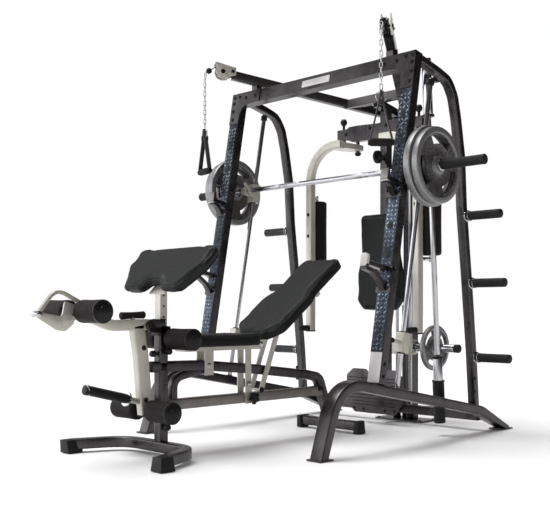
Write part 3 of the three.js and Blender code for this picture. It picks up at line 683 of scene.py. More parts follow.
def build_pec():
    dress("pec_bracket", CHARCOAL, 3)
    knobs = Shape()
    for side in (-1, 1):
        knobs.merge(turned((side * 282, 1118, 1770), (side * 282, 1118, 1842), [
            (0, 8), (30, 8), (34, 12), (40, 18), (48, 21), (56, 21), (64, 17), (70, 9)], 28))
        knobs.merge(rod((side * 282, 1118, 1690), (side * 282, 1118, 1716), 13, 2))
        for x, z in ((60, 1755), (60, 1706), (250, 1742)):
            knobs.merge(bolt((side * x, 1098, z), (0, -1, 0), 9, 6))
        knobs.merge(bolt((side * 170, 1118, 1612), (0, 0, -1), 15, 9))
    make("pec_knobs", knobs, BLACK, "frame", bevel=0.4)
    for label, side in SIDES:
        quarter = [math.radians(90 - 90 * i / 20) for i in range(21)]
        path = [(146, PEC_Y, 1650)]
        path += [(200 + 200 * math.cos(a), PEC_Y, 1450 + 200 * math.sin(a)) for a in quarter]
        path.append((400, PEC_Y, 540))
        arm = sweep(path, rounded_rectangle(46, 46, 9, 6), across=(0, 1, 0)).mirrored(side)
        corners = [(138, 1060), (138, 1146), (206, 1146), (246, 1040), (246, 925), (150, 925), (138, 1060)]
        flange = rounded_slab(corners, 26, 6, 1632, 1665, "z").mirrored(side)
        make(f"pec_tube_{label}", arm, CHAMPAGNE, f"pec_{label}", replaces=(f"pec_arm_{label}",))
        make(f"pec_flange_{label}", flange, CHAMPAGNE, f"pec_{label}", bevel=4, bevel_steps=3)
        pins = rod((425, 1030, 934), (425, 1030, 1374), 9)
        for z in (952, 1357):
            pins.merge(rod((400, 950, z), (425, 1030, z), 10))
        make(f"pec_roller_fork_{label}", pins.mirrored(side), CHROME, f"pec_{label}")
        grip = turned((side * 400, 924, 560), (side * 400, 846, 560), [
            (0, 16), (2, 18), (68, 18), (74, 16), (78, 8)], 28)
        make(f"pec_grip_{label}", grip, RUBBER, f"pec_{label}")
        marks = tube([(side * 400, PEC_Y, 538), (side * 400, PEC_Y, 546)], 48, 48, 9, (0, 1, 0))
        for z in (1250, 1120):
            marks.merge(bolt((side * 400, 922, z), (0, -1, 0), 8, 4))
        make(f"pec_marks_{label}", marks, BLACK, f"pec_{label}", bevel=0.3)
        foam = foam_sleeve((side * 425, 1030, 972), (side * 425, 1030, 1338), 60)
        make(f"pec_foam_{label}", foam, FOAM, f"pec_roller_{label}", replaces=(f"pec_roller_{label}",))


def foam_sleeve(start, end, radius):
    """Foam roller with soft ends and a slight waist."""
    length = (Vector(end) - Vector(start)).length
    rounding = [(0, radius - 26), (0.5, radius - 12), (3, radius - 5), (9, radius - 1), (18, radius)]
    profile = rounding + [(length * 0.5, radius - 1.5)]
    profile += [(length - distance, size) for distance, size in reversed(rounding)]
    return turned(start, end, profile, 48)


# ------------------------------------------------------------------ smith bar
BAR = Vector(lean(0, 150, 1140))


def on_bar(x):
    return (x, BAR.y, BAR.z)


def build_bar():
    make("bar_shaft", rod(on_bar(-1034), on_bar(1034), 14, 1, 32), CHROME, "bar", replaces=("smith_bar",))
    for label, side in SIDES:
        sleeve = turned(on_bar(side * 792), on_bar(side * 1035), [
            (0, 23), (2, 25), (12, 25), (14, 24.3), (228, 24.3), (230, 25), (239, 25), (242, 23),
            (243, 18)], 40)
        make(f"bar_sleeve_{label}", sleeve, RUBBER, "bar")
        collars = together(
            turned(on_bar(side * 780), on_bar(side * 794), [(0, 26), (1, 30), (11, 30), (13, 27)], 40),
            turned(on_bar(side * 684), on_bar(side * 700), [(0, 26), (1, 30), (13, 30), (14, 27)], 40))
        make(f"bar_collars_{label}", collars, CHROME, "bar")
        corners = [(-20, -18), (18, -18), (20, 18), (-24, 20), (-60, 36), (-66, 28), (-50, 16), (-22, 0),
                   (-20, -18)]
        hook = rounded_slab(corners, 9, 4, 568, 582, "x")
        hook.moved(Matrix.Translation(on_bar(0)) @ Matrix.Rotation(-TILT, 4, "X")).mirrored(side)
        make(f"bar_hook_{label}", hook, CHAMPAGNE, "bar", bevel=1.2)
        spans = [(on_bar(side * start), on_bar(side * (start + 120))) for start in (170, 330)]
        knurl = together(*[rod(a, b, 14.35, 0.3, 32) for a, b in spans])
        make(f"bar_knurl_{label}", knurl, KNURL, "bar")
        build_disc(f"inner_disc_{label}", 200, side * 700, side * 737, f"inner_plate_{label}")
        build_disc(f"outer_disc_{label}", 190, side * 742, side * 778, f"outer_plate_{label}")


def disc_section(radius, thickness):
    """(radius, half thickness) pairs from the hub out to the rim."""
    hub = [(15, 0.95), (16, 1), (44, 1), (48, 0.9), (52, 0.45)]
    web = [(0.5, 0.4), (0.56, 0.62), (0.80, 0.5)]
    rim = [(0.83, 0.9), (0.845, 1), (0.97, 1), (0.99, 0.9), (1, 0.66)]
    section = hub + [(share * radius, height) for share, height in web + rim]
    return [(reach, height * thickness / 2) for reach, height in section]


def disc_faces(section, keep, step, slots):
    """Both sides of a disc on a polar grid; ring number keep is left open at the grip slots and walled."""
    count = 360 // step
    vertices, index = [], {}
    for face in (-1, 1):
        for r, (radius, half) in enumerate(section):
            for a in range(count):
                angle = math.radians(a * step)
                index[face, r, a] = len(vertices)
                vertices.append((face * half, radius * math.cos(angle), radius * math.sin(angle)))

    def is_open(r, a):
        return r == keep and any(abs((a * step + step / 2 - slot + 180) % 360 - 180) < 33 for slot in slots)

    faces = []
    last = len(section) - 1
    for r in range(last):
        for a in range(count):
            b = (a + 1) % count
            if is_open(r, a):
                for edge in (((r, a), (r, b)), ((r + 1, b), (r + 1, a))):
                    (r0, a0), (r1, a1) = edge
                    faces.append([index[-1, r0, a0], index[-1, r1, a1], index[1, r1, a1], index[1, r0, a0]])
                for near, at in (((a - 1) % count, a), (b, b)):
                    if not is_open(r, near):
                        wall = ((-1, r, at), (-1, r + 1, at), (1, r + 1, at), (1, r, at))
                        faces.append([index[corner] for corner in wall])
                continue
            for face in (-1, 1):
                quad = [index[face, r, a], index[face, r, b], index[face, r + 1, b], index[face, r + 1, a]]
                faces.append(quad if face > 0 else quad[::-1])
    for a in range(count):
        b = (a + 1) % count
        faces.append([index[-1, last, a], index[-1, last, b], index[1, last, b], index[1, last, a]])
        faces.append([index[-1, 0, b], index[-1, 0, a], index[1, 0, a], index[1, 0, b]])
    return Shape().add(vertices, faces)


def build_disc(name, radius, x0, x1, node, slots=(90, 210, 330), centre=None, body="bar"):
    section = disc_section(radius, abs(x1 - x0))
    shape = disc_faces(section, 6, 3, slots)
    centre = BAR if centre is None else Vector(centre)
    turn = Matrix.Translation((x0 / 2 + x1 / 2, centre.y, centre.z)) @ Matrix.Rotation(-TILT, 4, "X")
    obj = make(name, shape.moved(turn), IRON, body, replaces=(node,), bevel=0.8, sharp=32)
    obj.data.materials.append(RIM)
    for face in obj.data.polygons:
        reach = math.hypot(face.center.y - (centre.y * MM + SHIFT_Y), face.center.z - centre.z * MM)
        if 0.835 * radius * MM < reach or reach < 0.047:
            face.material_index = 1


def build_safeties(label, side):
    for node, mat, soft in (("slider", CHAMPAGNE, 2.5), ("stopper", CHAMPAGNE, 2.5),
                            ("j_hook", CHARCOAL, 1.5), ("spotter_arm", CHARCOAL, 2.5)):
        dress(f"{node}_{label}", mat, soft)
    x = side * FRAME_X

    def facing(body, name, half, back, up, mat, bevel):
        strip = on_upright(block((x - half, x + half), back, up))
        make(f"{body}_{name}_{label}", strip, mat, f"{body}_{label}", bevel=bevel)

    facing("hook", "liner", 17, (-79, -10), (1029.5, 1033), RUBBER, 1)
    corners = [(x - 21, 569), (x + 21, 569), (x + 21, 632), (x - 21, 632), (x - 21, 569)]
    cap = on_upright(rounded_slab(corners, 19, 8, -174, -155, "y"))
    make(f"spotter_cap_{label}", cap, WHITE_CAP, f"spotter_{label}", bevel=2.5, bevel_steps=3)
    facing("spotter", "strip", 15, (-154, -12), (599, 602.5), SILVER, 1)
    facing("hook", "face", 21, (-96, -92), (1014, 1066), BEAM_GREY, 1.5)
    facing("hook", "edge", 23, (-96.5, -80), (1006, 1011), SILVER, 1)
    for body, up in (("spotter", 589), ("hook", 1020)):
        pin = on_upright(knob((x + side * 39, 14, up), (side, 0, 0), 9, 19))
        make(f"{body}_pin_{label}", pin, BLACK, f"{body}_{label}")

    def collars(ups, thick):
        at = (side * GUIDE_X, GUIDE_BACK)
        return together(*[rod((*at, up), (*at, up + thick), 21, 3) for up in ups])

    make(f"slider_trim_{label}", on_upright(collars((1079, 1189), 12)), BLACK, "sliders")
    trim = collars((206, 308), 10).merge(knob((side * GUIDE_X, 150, 262), (0, -1, 0), 13, 28))
    make(f"stopper_trim_{label}", on_upright(trim), BLACK, f"stopper_{label}")


# ------------------------------------------------------------------ weight carriage, barbell and pulls
def build_carriage():
    y, z = STACK_Y, STACK_Z
    hub = block((-82, 82), (y - 24, y + 24), (400, 490))
    make("carriage_hub", hub, CHAMPAGNE, "carriage", replaces=("weight_carriage",), bevel=5, bevel_steps=3)
    peg = turned((80, y, z), (400, y, z), [
        (0, 22), (10, 22), (12, 34), (19, 34), (21, 24), (312, 24), (316, 23), (320, 17)], 36)
    make("carriage_peg", peg, CHROME, "carriage")
    tip = turned((372, y, z), (402, y, z), [(0, 24.6), (24, 24.8), (28, 23), (30, 18)], 36)
    make("carriage_peg_tip", tip, RUBBER, "carriage")
    build_disc("stack_disc", 135, 215, 241, "stack_plate", (30, 150, 270), (0, y, z), "carriage")
    eye = together(rod((0, y, 488), (0, y, 512), 9), rod((-12, y, 512), (12, y, 512), 7))
    make("carriage_eye", eye, BLACK, "carriage")


def on_barbell(z):
    return Vector((555, 934.5 - 0.064 * z, z))


def build_barbell():
    shaft = rod(on_barbell(400), on_barbell(1710), 14, 1, 32)
    make("spare_bar", shaft, CHROME, "barbell", replaces=("stored_barbell",))
    for name, low, high in (("low", 75, 414), ("high", 1698, 1992)):
        length = (on_barbell(high) - on_barbell(low)).length
        sleeve = turned(on_barbell(low), on_barbell(high), [
            (0, 20), (2, 24), (6, 25), (length - 6, 25), (length - 2, 24), (length, 20)], 32)
        make(f"spare_bar_sleeve_{name}", sleeve, CHROME, "barbell")
    collars = together(*[rod(on_barbell(z), on_barbell(z + 14), 32, 3, 32) for z in (412, 1686)])
    make("spare_bar_collars", collars, BLACK, "barbell")
    cup = turned(on_barbell(68), on_barbell(297), [
        (0, 27), (3, 31), (220, 31), (224, 34), (229, 34), (229.3, 27), (229.2, 26), (20, 25.8), (19, 0)], 32)
    make("spare_bar_cup", cup, RUBBER, "frame", replaces=("barbell_holder",))
    make("spare_bar_clip", block((582, 612), (800, 846), (1862, 1884)), BLACK, "frame", bevel=3)


def chain_link(centre, turn, long=34, wide=19, thick=2.6):
    """One oval link standing upright, turned about the vertical."""
    path = []
    straight = (long - wide) / 2
    radius = wide / 2 - thick
    for i in range(20):
        angle = 2 * math.pi * i / 20
        offset = straight if math.sin(angle) >= 0 else -straight
        a, b = radius * math.cos(angle), radius * math.sin(angle) + offset
        path.append(Vector((a * math.cos(turn), a * math.sin(turn), b)) + centre)
    return sweep(path, circle(thick, 8), closed=True)


def ring(centre, radius, thick, turn):
    path = [Vector((a * math.cos(turn), a * math.sin(turn), b)) + Vector(centre)
            for a, b in circle(radius, 28)]
    return sweep(path, circle(thick, 10), closed=True)


def build_pull(label, side, yaw):
    x, y = side * 649, 310
    body = f"pull_{label}"
    turn = math.radians(yaw)
    links = Shape()
    z = 2004
    number = 0
    while z > 1725:
        links.merge(chain_link(Vector((x, y, z)), turn + (math.pi / 2 if number % 2 else 0)))
        z -= 26.5
        number += 1
    links.merge(ring((x, y, 1694), 25, 3, turn))
    make(f"chain_{label}", links, CHROME, body, replaces=(f"pull_{label}",))
    top = Vector((x - side * 8, y + 25, 2062))
    clip = chain_link(Vector((x - side, y + 3, 2034)), turn, 46, 22, 3.2)
    make(f"snap_hook_{label}", clip, CHROME, body)
    toward = (Vector((x, y, 2034)) - top).normalized()
    ball = turned(top - toward * 16, top + toward * 16, [
        (0, 7), (3, 12), (8, 15.5), (16, 17), (24, 15.5), (29, 12), (32, 6)], 32)
    make(f"ball_stop_{label}", ball, BLACK, body)
    route = smooth_corners([top, (side * 628, 375, 2090), (side * 607, 409, 2100)], 30, 6)
    make(f"pull_cable_{label}", sweep(route, circle(2.6, 10)), BLACK, "frame")
    build_handle(label, Vector((x, y, 0)), turn, body)


def build_handle(label, at, turn, body):
    spin = Matrix.Translation(at) @ Matrix.Rotation(turn, 4, "Z")
    straps = Shape()
    for side in (-1, 1):
        spots = ((2, 1720), (7, 1690), (16, 1640), (50, 1500), (54, 1474))
        path = smooth_corners([(side * x, 0, z) for x, z in spots], 40, 6)
        straps.merge(sweep(path, rounded_rectangle(26, 8, 2.4, 3), across=(0, 1, 0)))
    collar = sweep([(0, 0, 1678), (0, 0, 1654)], rounded_rectangle(42, 13, 4))
    make(f"handle_strap_{label}", together(straps, collar).moved(spin), WEBBING, body)
    grip = turned((-58, 0, 1474), (58, 0, 1474), [
        (0, 9), (1, 14), (4, 17), (12, 18.5), (58, 19.5), (104, 18.5), (112, 17), (115, 14), (116, 9)], 36)
    make(f"handle_grip_{label}", grip.moved(spin), FOAM, body)
    ends = together(rod((-63, 0, 1474), (-57, 0, 1474), 15, 2), rod((57, 0, 1474), (63, 0, 1474), 15, 2))
    make(f"handle_ends_{label}", ends.moved(spin), BLACK, body)


WHITE_CAP = rubber_finish("pale_end_cap", (0.50, 0.49, 0.47), 0.5, pores=900, depth=0.1)
KNURL = chrome_finish("knurled_chrome", (0.5, 0.5, 0.52), 0.32)
build_mast()
build_pec()
build_bar()
for SIDE_LABEL, SIDE_SIGN in SIDES:
    build_safeties(SIDE_LABEL, SIDE_SIGN)
build_carriage()
build_barbell()
build_pull("left", -1, -10)
build_pull("right", 1, 45)


# ------------------------------------------------------------------ bench
# Y of the bench's front post.
POST_Y = -508


def yz(points):
    return [(0, y, z) for y, z in points]


def flat(points, z):
    return [(x, y, z) for x, y in points]


def trapezoid_cap(x0, x1, y0, y1, low, high, taper):
    """Rubber foot whose top is smaller than its bottom."""
    def level(z, inset):
        a, b, c, d = x0 + inset, x1 - inset, y0 + inset, y1 - inset
        return [(a, c, z), (b, c, z), (b, d, z), (a, d, z)]
    return loft([level(low, 0), level(high, taper)])


def build_bench():
    rail = yz([(-575, 410), (-270, 405), (65, 372), (470, 322), (570, 302), (640, 120), (675, 45)])
    front_foot = smooth_corners([(-345, -764), (-250, -520), (250, -520), (345, -764)], 170, 12)
    brace = yz([(-440, 240), (-440, 350), (-250, 385)])
    body = together(
        tube(smooth_corners(rail, 70, 12), 50, 50, 8),
        tube([(0, POST_Y, 24), (0, POST_Y, 588)], 50, 50, 8),
        tube(flat(front_foot, 40), 50, 50, 8, (0, 0, 1)),
        tube([(-218, 675, 41), (218, 675, 41)], 50, 50, 8, (0, 1, 0)),
        tube(smooth_corners(brace, 90, 12), 36, 36, 6))
    make("bench_frame", body, CHARCOAL, "bench", replaces=("bench_frame",))
    make("bench_lower_beam", tube([(0, -484, 228), (0, 590, 228)], 50, 50, 7), BEAM_GREY, "bench")
    feet = Shape()
    for side in (-1, 1):
        feet.merge(trapezoid_cap(side * 312, side * 388, -806, -730, 0.5, 62, side * 7).mirrored(1))
        feet.merge(trapezoid_cap(side * 192, side * 228, 642, 708, 0.5, 70, side * 4))
    make("bench_feet", feet, RUBBER, "bench", bevel=4, bevel_steps=3)
    make("bench_post_collar", tube([(0, POST_Y, 554), (0, POST_Y, 597)], 68, 68, 9), BLACK, "bench")
    fittings = bolt_pairs((34, -588, 600, 13, 8), (26, POST_Y, 405, 10, 6), (26, POST_Y, 228, 10, 6),
                          (26, 560, 240, 10, 6), (26, 655, 90, 9, 6))
    fittings.merge(bolt((0, -533, 40), (0, -1, 0), 10, 6))
    make("bench_bolts", fittings, BLACK, "bench", bevel=0.4)
    levers = together(
        knob((25, POST_Y, 130), (1, 0, 0), 15, 36),
        knob((0, -533, 470), (0, -1, 0), 15, 36),
        knob((26, -500, 480), (1, 0, 0), 15, 36),
        star_knob((26, 43, 226), (1, 0, 0)),
    )
    make("bench_knobs", levers, BLACK, "bench")
    cheeks = Shape()
    for side in (-1, 1):
        outline = smooth_corners([(-508, 566), (-600, 572), (-622, 600), (-600, 628), (-508, 632)], 22, 5)
        cheeks.merge(slab([(p.x, p.y) for p in outline], side * 26, side * 34, "x"))
    make("bench_pivot_cheeks", cheeks, CHARCOAL, "bench", bevel=1)
    pivot = rod((-36, -588, 600), (36, -588, 600), 10, 1)
    make("bench_pivot_pin", pivot, CHROME, "bench")


def star_knob(at, facing, radius=27, lobes=5):
    at, facing = Vector(at), Vector(facing).normalized()
    first = facing.orthogonal().normalized()
    second = facing.cross(first)
    rings = []
    for distance, size in ((0, 0.35), (14, 0.35), (15, 0.8), (18, 1), (32, 1), (36, 0.85), (38, 0.5)):
        ring = []
        for i in range(60):
            angle = 2 * math.pi * i / 60
            wave = 1 + 0.16 * math.cos(lobes * angle) * (1 if distance > 14 else 0)
            ring.append(at + facing * distance + (first * math.cos(angle) + second * math.sin(angle))
                        * radius * size * wave)
        rings.append(ring)
    return loft(rings)


def build_seat():
    dress("seat_frame", CHAMPAGNE, 1.5)
    pins = rod((-46, 95, 496), (46, 95, 496), 9, 1)
    pins.merge(bolt_pairs((32, -240, 405, 9, 6), (44, 95, 496, 11, 7), (40, 20, 300, 9, 6)))
    make("seat_pins", pins, CHROME, "bench", bevel=0.4)


LEAN_BACK = Matrix.Translation((0, 95, 511)) @ Matrix.Rotation(math.radians(36.1), 4, "X")


def build_backrest_frame():
    dress("backrest_frame", CHAMPAGNE, 2)
    heads = Shape()
    for v in (110, 230, 500):
        heads.merge(bolt((0, v, -40), (0, 0, -1), 8, 5))
    for side in (-1, 1):
        heads.merge(bolt((side * 90, 435, -22), (0, 0, -1), 8, 5))
    make("backrest_bolts", heads.moved(LEAN_BACK), BLACK, "backrest", bevel=0.4)
    dress("back_strut", CHAMPAGNE, 1)
    make("strut_bolts", bolt_pairs((42, 233, 587, 11, 7), (42, 103, 264, 11, 7)), BLACK, "strut", bevel=0.4)


LEAN_CURL = Matrix.Translation((0, -547.5, 735.6)) @ Matrix.Rotation(math.radians(47.2), 4, "X")


def build_curl():
    dress("curl_post", CHAMPAGNE, 2)
    marks = Shape()
    for z in (640, 690, 740):
        for x in (-20.6, 20.6):
            marks.merge(rod((x - 0.6, POST_Y, z), (x + 0.6, POST_Y, z), 5, 0.3))
    for x in (-45, 45):
        marks.merge(bolt((x, 60, -8), (0, 0, -1), 8, 5).moved(LEAN_CURL))
    make("curl_fittings", marks, BLACK, "curl")


def lever_tube(points, wide, high, corner, radius):
    return tube(smooth_corners(yz(points), radius, 14), wide, high, corner)


def cross_rod(y, z):
    return rod((-214, y, z), (214, y, z), 10, 1)


def build_leg():
    arm = lever_tube([(-572, 606), (-790, 604), (-975, 672)], 44, 50, 8, 150)
    leg = lever_tube([(-648, 600), (-626, 466), (-611, 310), (-598, 192)], 44, 66, 8, 120)
    stem = rod((0, -670, 600), (0, -670, 652), 11, 1)
    peg_root = rod((0, -612, 250), (0, -706, 273.5), 14, 1)
    make("leg_tubes", together(arm, leg, stem, peg_root), CHAMPAGNE, "leg", replaces=("leg_developer",))
    caps = together(tube([(0, -974, 671.6), (0, -978, 673.2)], 46, 52, 9),
                    tube([(0, -598, 194), (0, -598, 187)], 46, 67, 9))
    make("leg_end_caps", caps, RUBBER, "leg", bevel=1.5)
    peg = turned((0, -702, 272.5), (0, -925, 328.4), [
        (0, 18), (2, 22), (212, 22), (214, 23), (224, 23), (228, 20), (229.5, 14)], 36)
    make("leg_weight_peg", peg, RUBBER, "leg")
    collar = turned((0, -698, 271.5), (0, -924, 328), [(0, 22), (1, 34), (9, 34), (11, 22)], 32)
    make("leg_peg_collar", collar, CHROME, "leg")
    clip = [(a, -912 - 0.244 * b, 325 + 0.97 * b) for a, b in circle(24.5)[:22]]
    make("leg_peg_clip", sweep(clip, circle(2, 8)), CHROME, "leg")
    sheet = [(-1092, 606), (-1063, 588), (-1019, 582), (-980, 612), (-950, 690), (-1022, 712), (-1035, 645),
             (-1160, 668), (-1150, 640), (-1092, 606)]
    make("leg_front_plate", rounded_slab(sheet, 14, 5, -4.5, 4.5, "x"), CHAMPAGNE, "leg", bevel=1)
    loop = lever_tube([(-935, 700), (-1065, 765), (-1150, 656)], 20, 16, 4, 70)
    make("leg_loop", loop, CHAMPAGNE, "leg")
    axles = together(cross_rod(-965, 667), cross_rod(-600, 214),
                     rod((-22, -1153, 656), (22, -1153, 656), 13, 2))
    make("leg_axles", axles, CHROME, "leg")
    grip = turned((0, -735, 646), (0, -605, 650), [
        (0, 8), (1, 15), (5, 17.5), (12, 16.5), (65, 15), (118, 16.5), (125, 17.5), (129, 15), (130, 8)], 32)
    make("leg_top_grip", grip, FOAM, "leg")
    heads = bolt_pairs(*[(22, y, z, 9, 6) for y, z in ((-940, 660), (-900, 645), (-622, 500), (-610, 262))])
    make("leg_bolts", heads, BLACK, "leg", bevel=0.4)


def build_rollers():
    make("thigh_axle", cross_rod(-480, 538), CHROME, "bench")
    for name, y, z, inner in (("front", -965, 667, 46), ("low", -600, 214, 46), ("thigh", -480, 538, 37)):
        body = f"{name}_rollers"
        nodes = (f"{name}_roller_left", f"{name}_roller_right")
        foam, bands, caps = Shape(), Shape(), Shape()
        for side in (-1, 1):
            foam.merge(foam_sleeve((side * inner, y, z), (side * 208, y, z), 50))
            bands.merge(turned((side * 196, y, z), (side * 210, y, z), [
                (0, 44), (1, 49.6), (9, 50.3), (12, 48), (14, 40)], 48))
            caps.merge(turned((side * 208, y, z), (side * 219, y, z), [
                (0, 40), (3, 37), (5, 24), (8, 22), (10, 12)], 40))
        make(f"{name}_foam", foam, FOAM, body, replaces=nodes)
        make(f"{name}_foam_bands", bands, BLACK, body)
        make(f"{name}_foam_caps", caps, BLACK, body)


build_bench()
build_seat()
build_backrest_frame()
build_curl()
build_leg()
build_rollers()


# ------------------------------------------------------------------ pads
def resampled(points, step):
    """Points spaced evenly along a closed outline."""
    ring = points + points[:1]
    lengths = [(b - a).length for a, b in zip(ring, ring[1:])]
    count = round(sum(lengths) / step)
    result = []
    for i in range(count):
        wanted = sum(lengths) * i / count
        for a, b, length in zip(ring, ring[1:], lengths):
            if wanted <= length:
                result.append(a.lerp(b, wanted / max(length, 1e-9)))
                break
            wanted -= length
    return result


def closed_outline(corners, radius):
    """Closed outline with rounded corners, counter-clockwise, evenly spaced."""
    ring = [Vector(c) for c in corners]
    middle = (ring[-1] + ring[0]) / 2
    path = smooth_corners([middle] + ring + [middle], radius, 8)
    return resampled(path[:-1], 7)


def inset_outline(points, inset):
    """Outline moved inwards, leaving out the points that would fold over."""
    moved = []
    for i, here in enumerate(points):
        along = (points[(i + 1) % len(points)] - points[i - 1]).normalized()
        moved.append(here + Vector((-along.y, along.x)) * inset)
    kept = [p for p in moved if min((p - q).length for q in points) > inset * 0.93]
    return resampled(kept, 7)


def hold_and_inflate(obj, cap):
    """Swells a closed pad with cloth pressure while its flat back is held, then limits how far it moved."""
    begin = [v.co.copy() for v in obj.data.vertices]
    held = obj.vertex_groups.new(name="held")
    held.add([v.index for v in obj.data.vertices if v.co.z < 0.004], 1.0, "REPLACE")
    cloth = obj.modifiers.new("cloth", "CLOTH")
    cloth.settings.vertex_group_mass = "held"
    cloth.settings.use_pressure = True
    cloth.settings.uniform_pressure_force = 4
    cloth.settings.effector_weights.gravity = 0
    cloth.point_cache.frame_start = 1
    cloth.point_cache.frame_end = 20
    for number in range(1, 21):
        bpy.context.scene.frame_set(number)
    swollen = obj.evaluated_get(bpy.context.evaluated_depsgraph_get())
    ends = [v.co.copy() for v in swollen.data.vertices]
    obj.modifiers.remove(cloth)
    obj.vertex_groups.remove(held)
    for vertex, start, end in zip(obj.data.vertices, begin, ends):
        step = end - start
        step.x *= 0.35
        step.y *= 0.35
        if step.length > cap:
            step = step * (cap / step.length)
        vertex.co = start + step
    bpy.context.scene.frame_set(1)


def apply_modifier(obj, kind, **settings):
    modifier = obj.modifiers.new(kind.lower(), kind)
    for key, value in settings.items():
        setattr(modifier, key, value)
    shaped = bpy.data.meshes.new_from_object(obj.evaluated_get(bpy.context.evaluated_depsgraph_get()))
    obj.modifiers.clear()
    obj.data = shaped


def press_seam(mesh, line, depth, width):
    """Pulls the cover in along a stitched line."""
    tree = KDTree(len(line))
    for i, point in enumerate(line):
        tree.insert(point, i)
    tree.balance()
    for vertex in mesh.vertices:
        near, _, distance = tree.find(vertex.co)
        if distance < width:
            fall = 0.5 + 0.5 * math.cos(math.pi * distance / width)
            vertex.co -= vertex.normal * depth * fall


def cast(mesh, rays):
    """Where rays, given as (start, direction), first meet a mesh; those that miss are left out."""
    tree = BVHTree.FromPolygons([v.co for v in mesh.vertices], [p.vertices for p in mesh.polygons])
    hits = [tree.ray_cast(start, direction)[0] for start, direction in rays]
    return [hit for hit in hits if hit is not None]


def seam_line(mesh, outline, far):
    """Drops an outline onto the pad's crowned face."""
    return cast(mesh, [(Vector((p.x * MM, p.y * MM, far)), Vector((0, 0, -1))) for p in outline])


def side_line(mesh, outline, height):
    """Draws a line round the pad's side at one height."""
    rays = []
    for i, point in enumerate(outline):
        along = (outline[(i + 1) % len(outline)] - outline[i - 1]).normalized()
        out = Vector((along.y, -along.x, 0))
        rays.append((Vector((point.x * MM, point.y * MM, height)) + out * 0.05, -out))
    return cast(mesh, rays)


def pad(name, corners, radius, thickness, turn, body, node, cap=0.0068, seam=20, seam_depth=0.0026, taper=6):
    """One upholstered pad: remeshed, swollen, sewn, then put in its place by turn (in millimetres)."""
    outline = closed_outline(corners, radius)
    start = inset_outline(outline, 5)
    shape = slab([(p.x, p.y) for p in start], thickness * 0.35, thickness - 6, "z")
    back = inset_outline(outline, taper)
    shape.merge(slab([(p.x, p.y) for p in back], 0.5, thickness * 0.6, "z"))
    mesh = bpy.data.meshes.new(name)
    mesh.from_pydata([v * MM for v in shape.vertices], [], shape.faces)
    obj = bpy.data.objects.new(name, mesh)
    bpy.context.scene.collection.objects.link(obj)
    apply_modifier(obj, "REMESH", mode="VOXEL", voxel_size=0.0055)
    apply_modifier(obj, "SMOOTH", factor=0.6, iterations=9)
    hold_and_inflate(obj, cap)
    apply_modifier(obj, "SMOOTH", factor=0.55, iterations=6)
    obj.data.update()
    top = seam_line(obj.data, inset_outline(outline, seam), 0.3)
    low = side_line(obj.data, outline, 0.010)
    press_seam(obj.data, top, seam_depth, 0.011)
    press_seam(obj.data, low, seam_depth * 0.6, 0.008)
    apply_modifier(obj, "SUBSURF", levels=1)
    rise = Matrix.Diagonal((MM, MM, MM, 1)) @ turn @ Matrix.Diagonal((1 / MM, 1 / MM, 1 / MM, 1))
    settle = Matrix.Translation((0, SHIFT_Y, 0)) @ rise
    obj.data.transform(settle)
    obj.data.materials.clear()
    obj.data.materials.append(VINYL)
    shade_smooth(obj.data)
    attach(obj, body)
    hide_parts(node)
    welts = Shape()
    for line in (top, low):
        path = [point / MM - Vector((0, 0, 0.9)) for point in line]
        welts.merge(sweep(path, circle(1.9, 8), closed=True))
    make(f"{name}_welt", welts.moved(turn), PIPING, body)


def mirrored_outline(half):
    """Right-hand corners listed upwards, followed by their left-hand partners downwards."""
    return half + [(-x, y) for x, y in reversed(half)]


def build_pads():
    seat = mirrored_outline([(118, -424), (142, -392), (142, 2), (122, 30)])
    pad("seat_cushion", seat, 26, 58, Matrix.Translation((0, 0, 496.4)), "bench", "seat_pad")
    back = mirrored_outline([(100, 0), (170, 70), (170, 320), (140, 400), (140, 687)])
    pad("backrest_cushion", back, 60, 60, LEAN_BACK, "backrest", "backrest_pad")
    arms = [(0, 50)] + mirrored_outline([(40, 50), (72, 0), (205, 0), (290, 150), (290, 262), (250, 280)])
    pad("curl_cushion", arms, 30, 58, LEAN_CURL, "curl", "curl_pad", cap=0.009, taper=20)
    upright = Matrix.Translation((0, 1150.6, 0)) @ Matrix.Rotation(math.radians(90), 4, "X")
    rest = mirrored_outline([(118, 664), (168, 724), (165, 894), (140, 994), (140, 1246)])
    pad("back_cushion", rest, 40, 60, upright, "frame", "back_pad")


build_pads()


# ------------------------------------------------------------------ floor and light
def build_stage():
    bpy.ops.mesh.primitive_plane_add(size=120, location=(0, 0, -0.002))
    floor = bpy.context.active_object
    floor.name = "studio_floor"
    mat, nodes, links, shader = material("pale_floor", (0.92, 0.92, 0.925), 0.0, 0.7)
    cloud = texture(nodes, links, "ShaderNodeTexNoise", 3, Detail=4)
    tint(nodes, links, cloud.outputs["Fac"], (0.93, 0.93, 0.935), (0.95, 0.95, 0.955), shader)
    floor.data.materials.append(mat)


def sun(name, toward, strength, angle, colour=(1, 1, 1)):
    """A broad, even light that shines along a direction."""
    data = bpy.data.lights.new(name, "SUN")
    data.energy = strength
    data.angle = math.radians(angle)
    data.color = colour
    light = bpy.data.objects.new(name, data)
    light.rotation_euler = Vector(toward).to_track_quat("-Z", "Y").to_euler()
    light.location = Vector(toward) * -4
    bpy.context.scene.collection.objects.link(light)


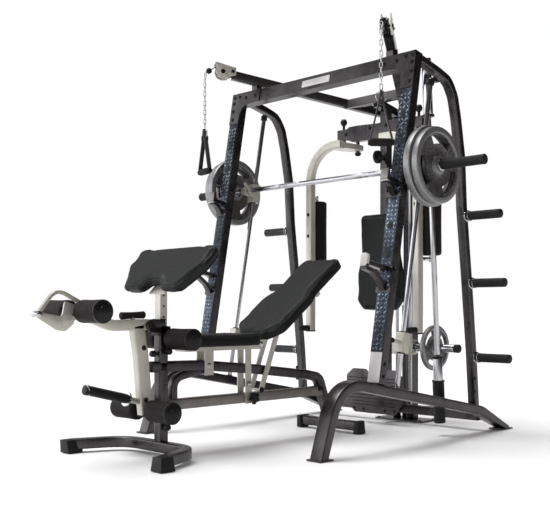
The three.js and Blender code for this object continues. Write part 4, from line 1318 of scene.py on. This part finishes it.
def build_world():
    """White behind the object; as light, a studio that is bright to the front left and dim to the right."""
    world = bpy.data.worlds.new("studio")
    bpy.context.scene.world = world
    world.use_nodes = True
    nodes, links = world.node_tree.nodes, world.node_tree.links
    background = nodes["Background"]
    coordinate = nodes.new("ShaderNodeTexCoord")
    facing = nodes.new("ShaderNodeVectorMath")
    facing.operation = "DOT_PRODUCT"
    facing.inputs[1].default_value = Vector((-0.7, -0.7, 0.15)).normalized()
    links.new(coordinate.outputs["Generated"], facing.inputs[0])
    ramp = nodes.new("ShaderNodeValToRGB")
    ramp.color_ramp.elements[0].position = 0.1
    ramp.color_ramp.elements[0].color = (0.014, 0.011, 0.010, 1)
    ramp.color_ramp.elements[1].position = 0.93
    ramp.color_ramp.elements[1].color = (0.95, 0.96, 1, 1)
    for position, colour in ((0.5, (0.12, 0.11, 0.105)), (0.76, (0.33, 0.335, 0.345))):
        ramp.color_ramp.elements.new(position).color = (*colour, 1)
    half = nodes.new("ShaderNodeMapRange")
    half.inputs["From Min"].default_value = -1
    links.new(facing.outputs["Value"], half.inputs["Value"])
    height = nodes.new("ShaderNodeSeparateXYZ")
    links.new(coordinate.outputs["Generated"], height.inputs[0])
    shade = nodes.new("ShaderNodeMath")
    shade.operation = "MULTIPLY"
    links.new(half.outputs["Result"], shade.inputs[0])
    links.new(spread(nodes, links, height.outputs["Z"], 0.38, 0.52, 1, 0.5), shade.inputs[1])
    links.new(shade.outputs[0], ramp.inputs[0])
    links.new(ramp.outputs["Color"], background.inputs["Color"])
    background.inputs["Strength"].default_value = 2.5
    white = nodes.new("ShaderNodeBackground")
    white.inputs["Color"].default_value = (1, 1, 1, 1)
    rays = nodes.new("ShaderNodeLightPath")
    mix = nodes.new("ShaderNodeMixShader")
    links.new(rays.outputs["Is Camera Ray"], mix.inputs[0])
    links.new(background.outputs[0], mix.inputs[1])
    links.new(white.outputs[0], mix.inputs[2])
    links.new(mix.outputs[0], nodes["World Output"].inputs[0])


build_stage()
build_world()
sun("key", (0.3, 0.26, -0.9), 1.8, 34)
sun("overhead", (0.1, 0.1, -1), 1.3, 50)
sun("back_light", (0.3, -0.8, -0.5), 0.4, 40)
bpy.context.scene.view_settings.view_transform = "Standard"
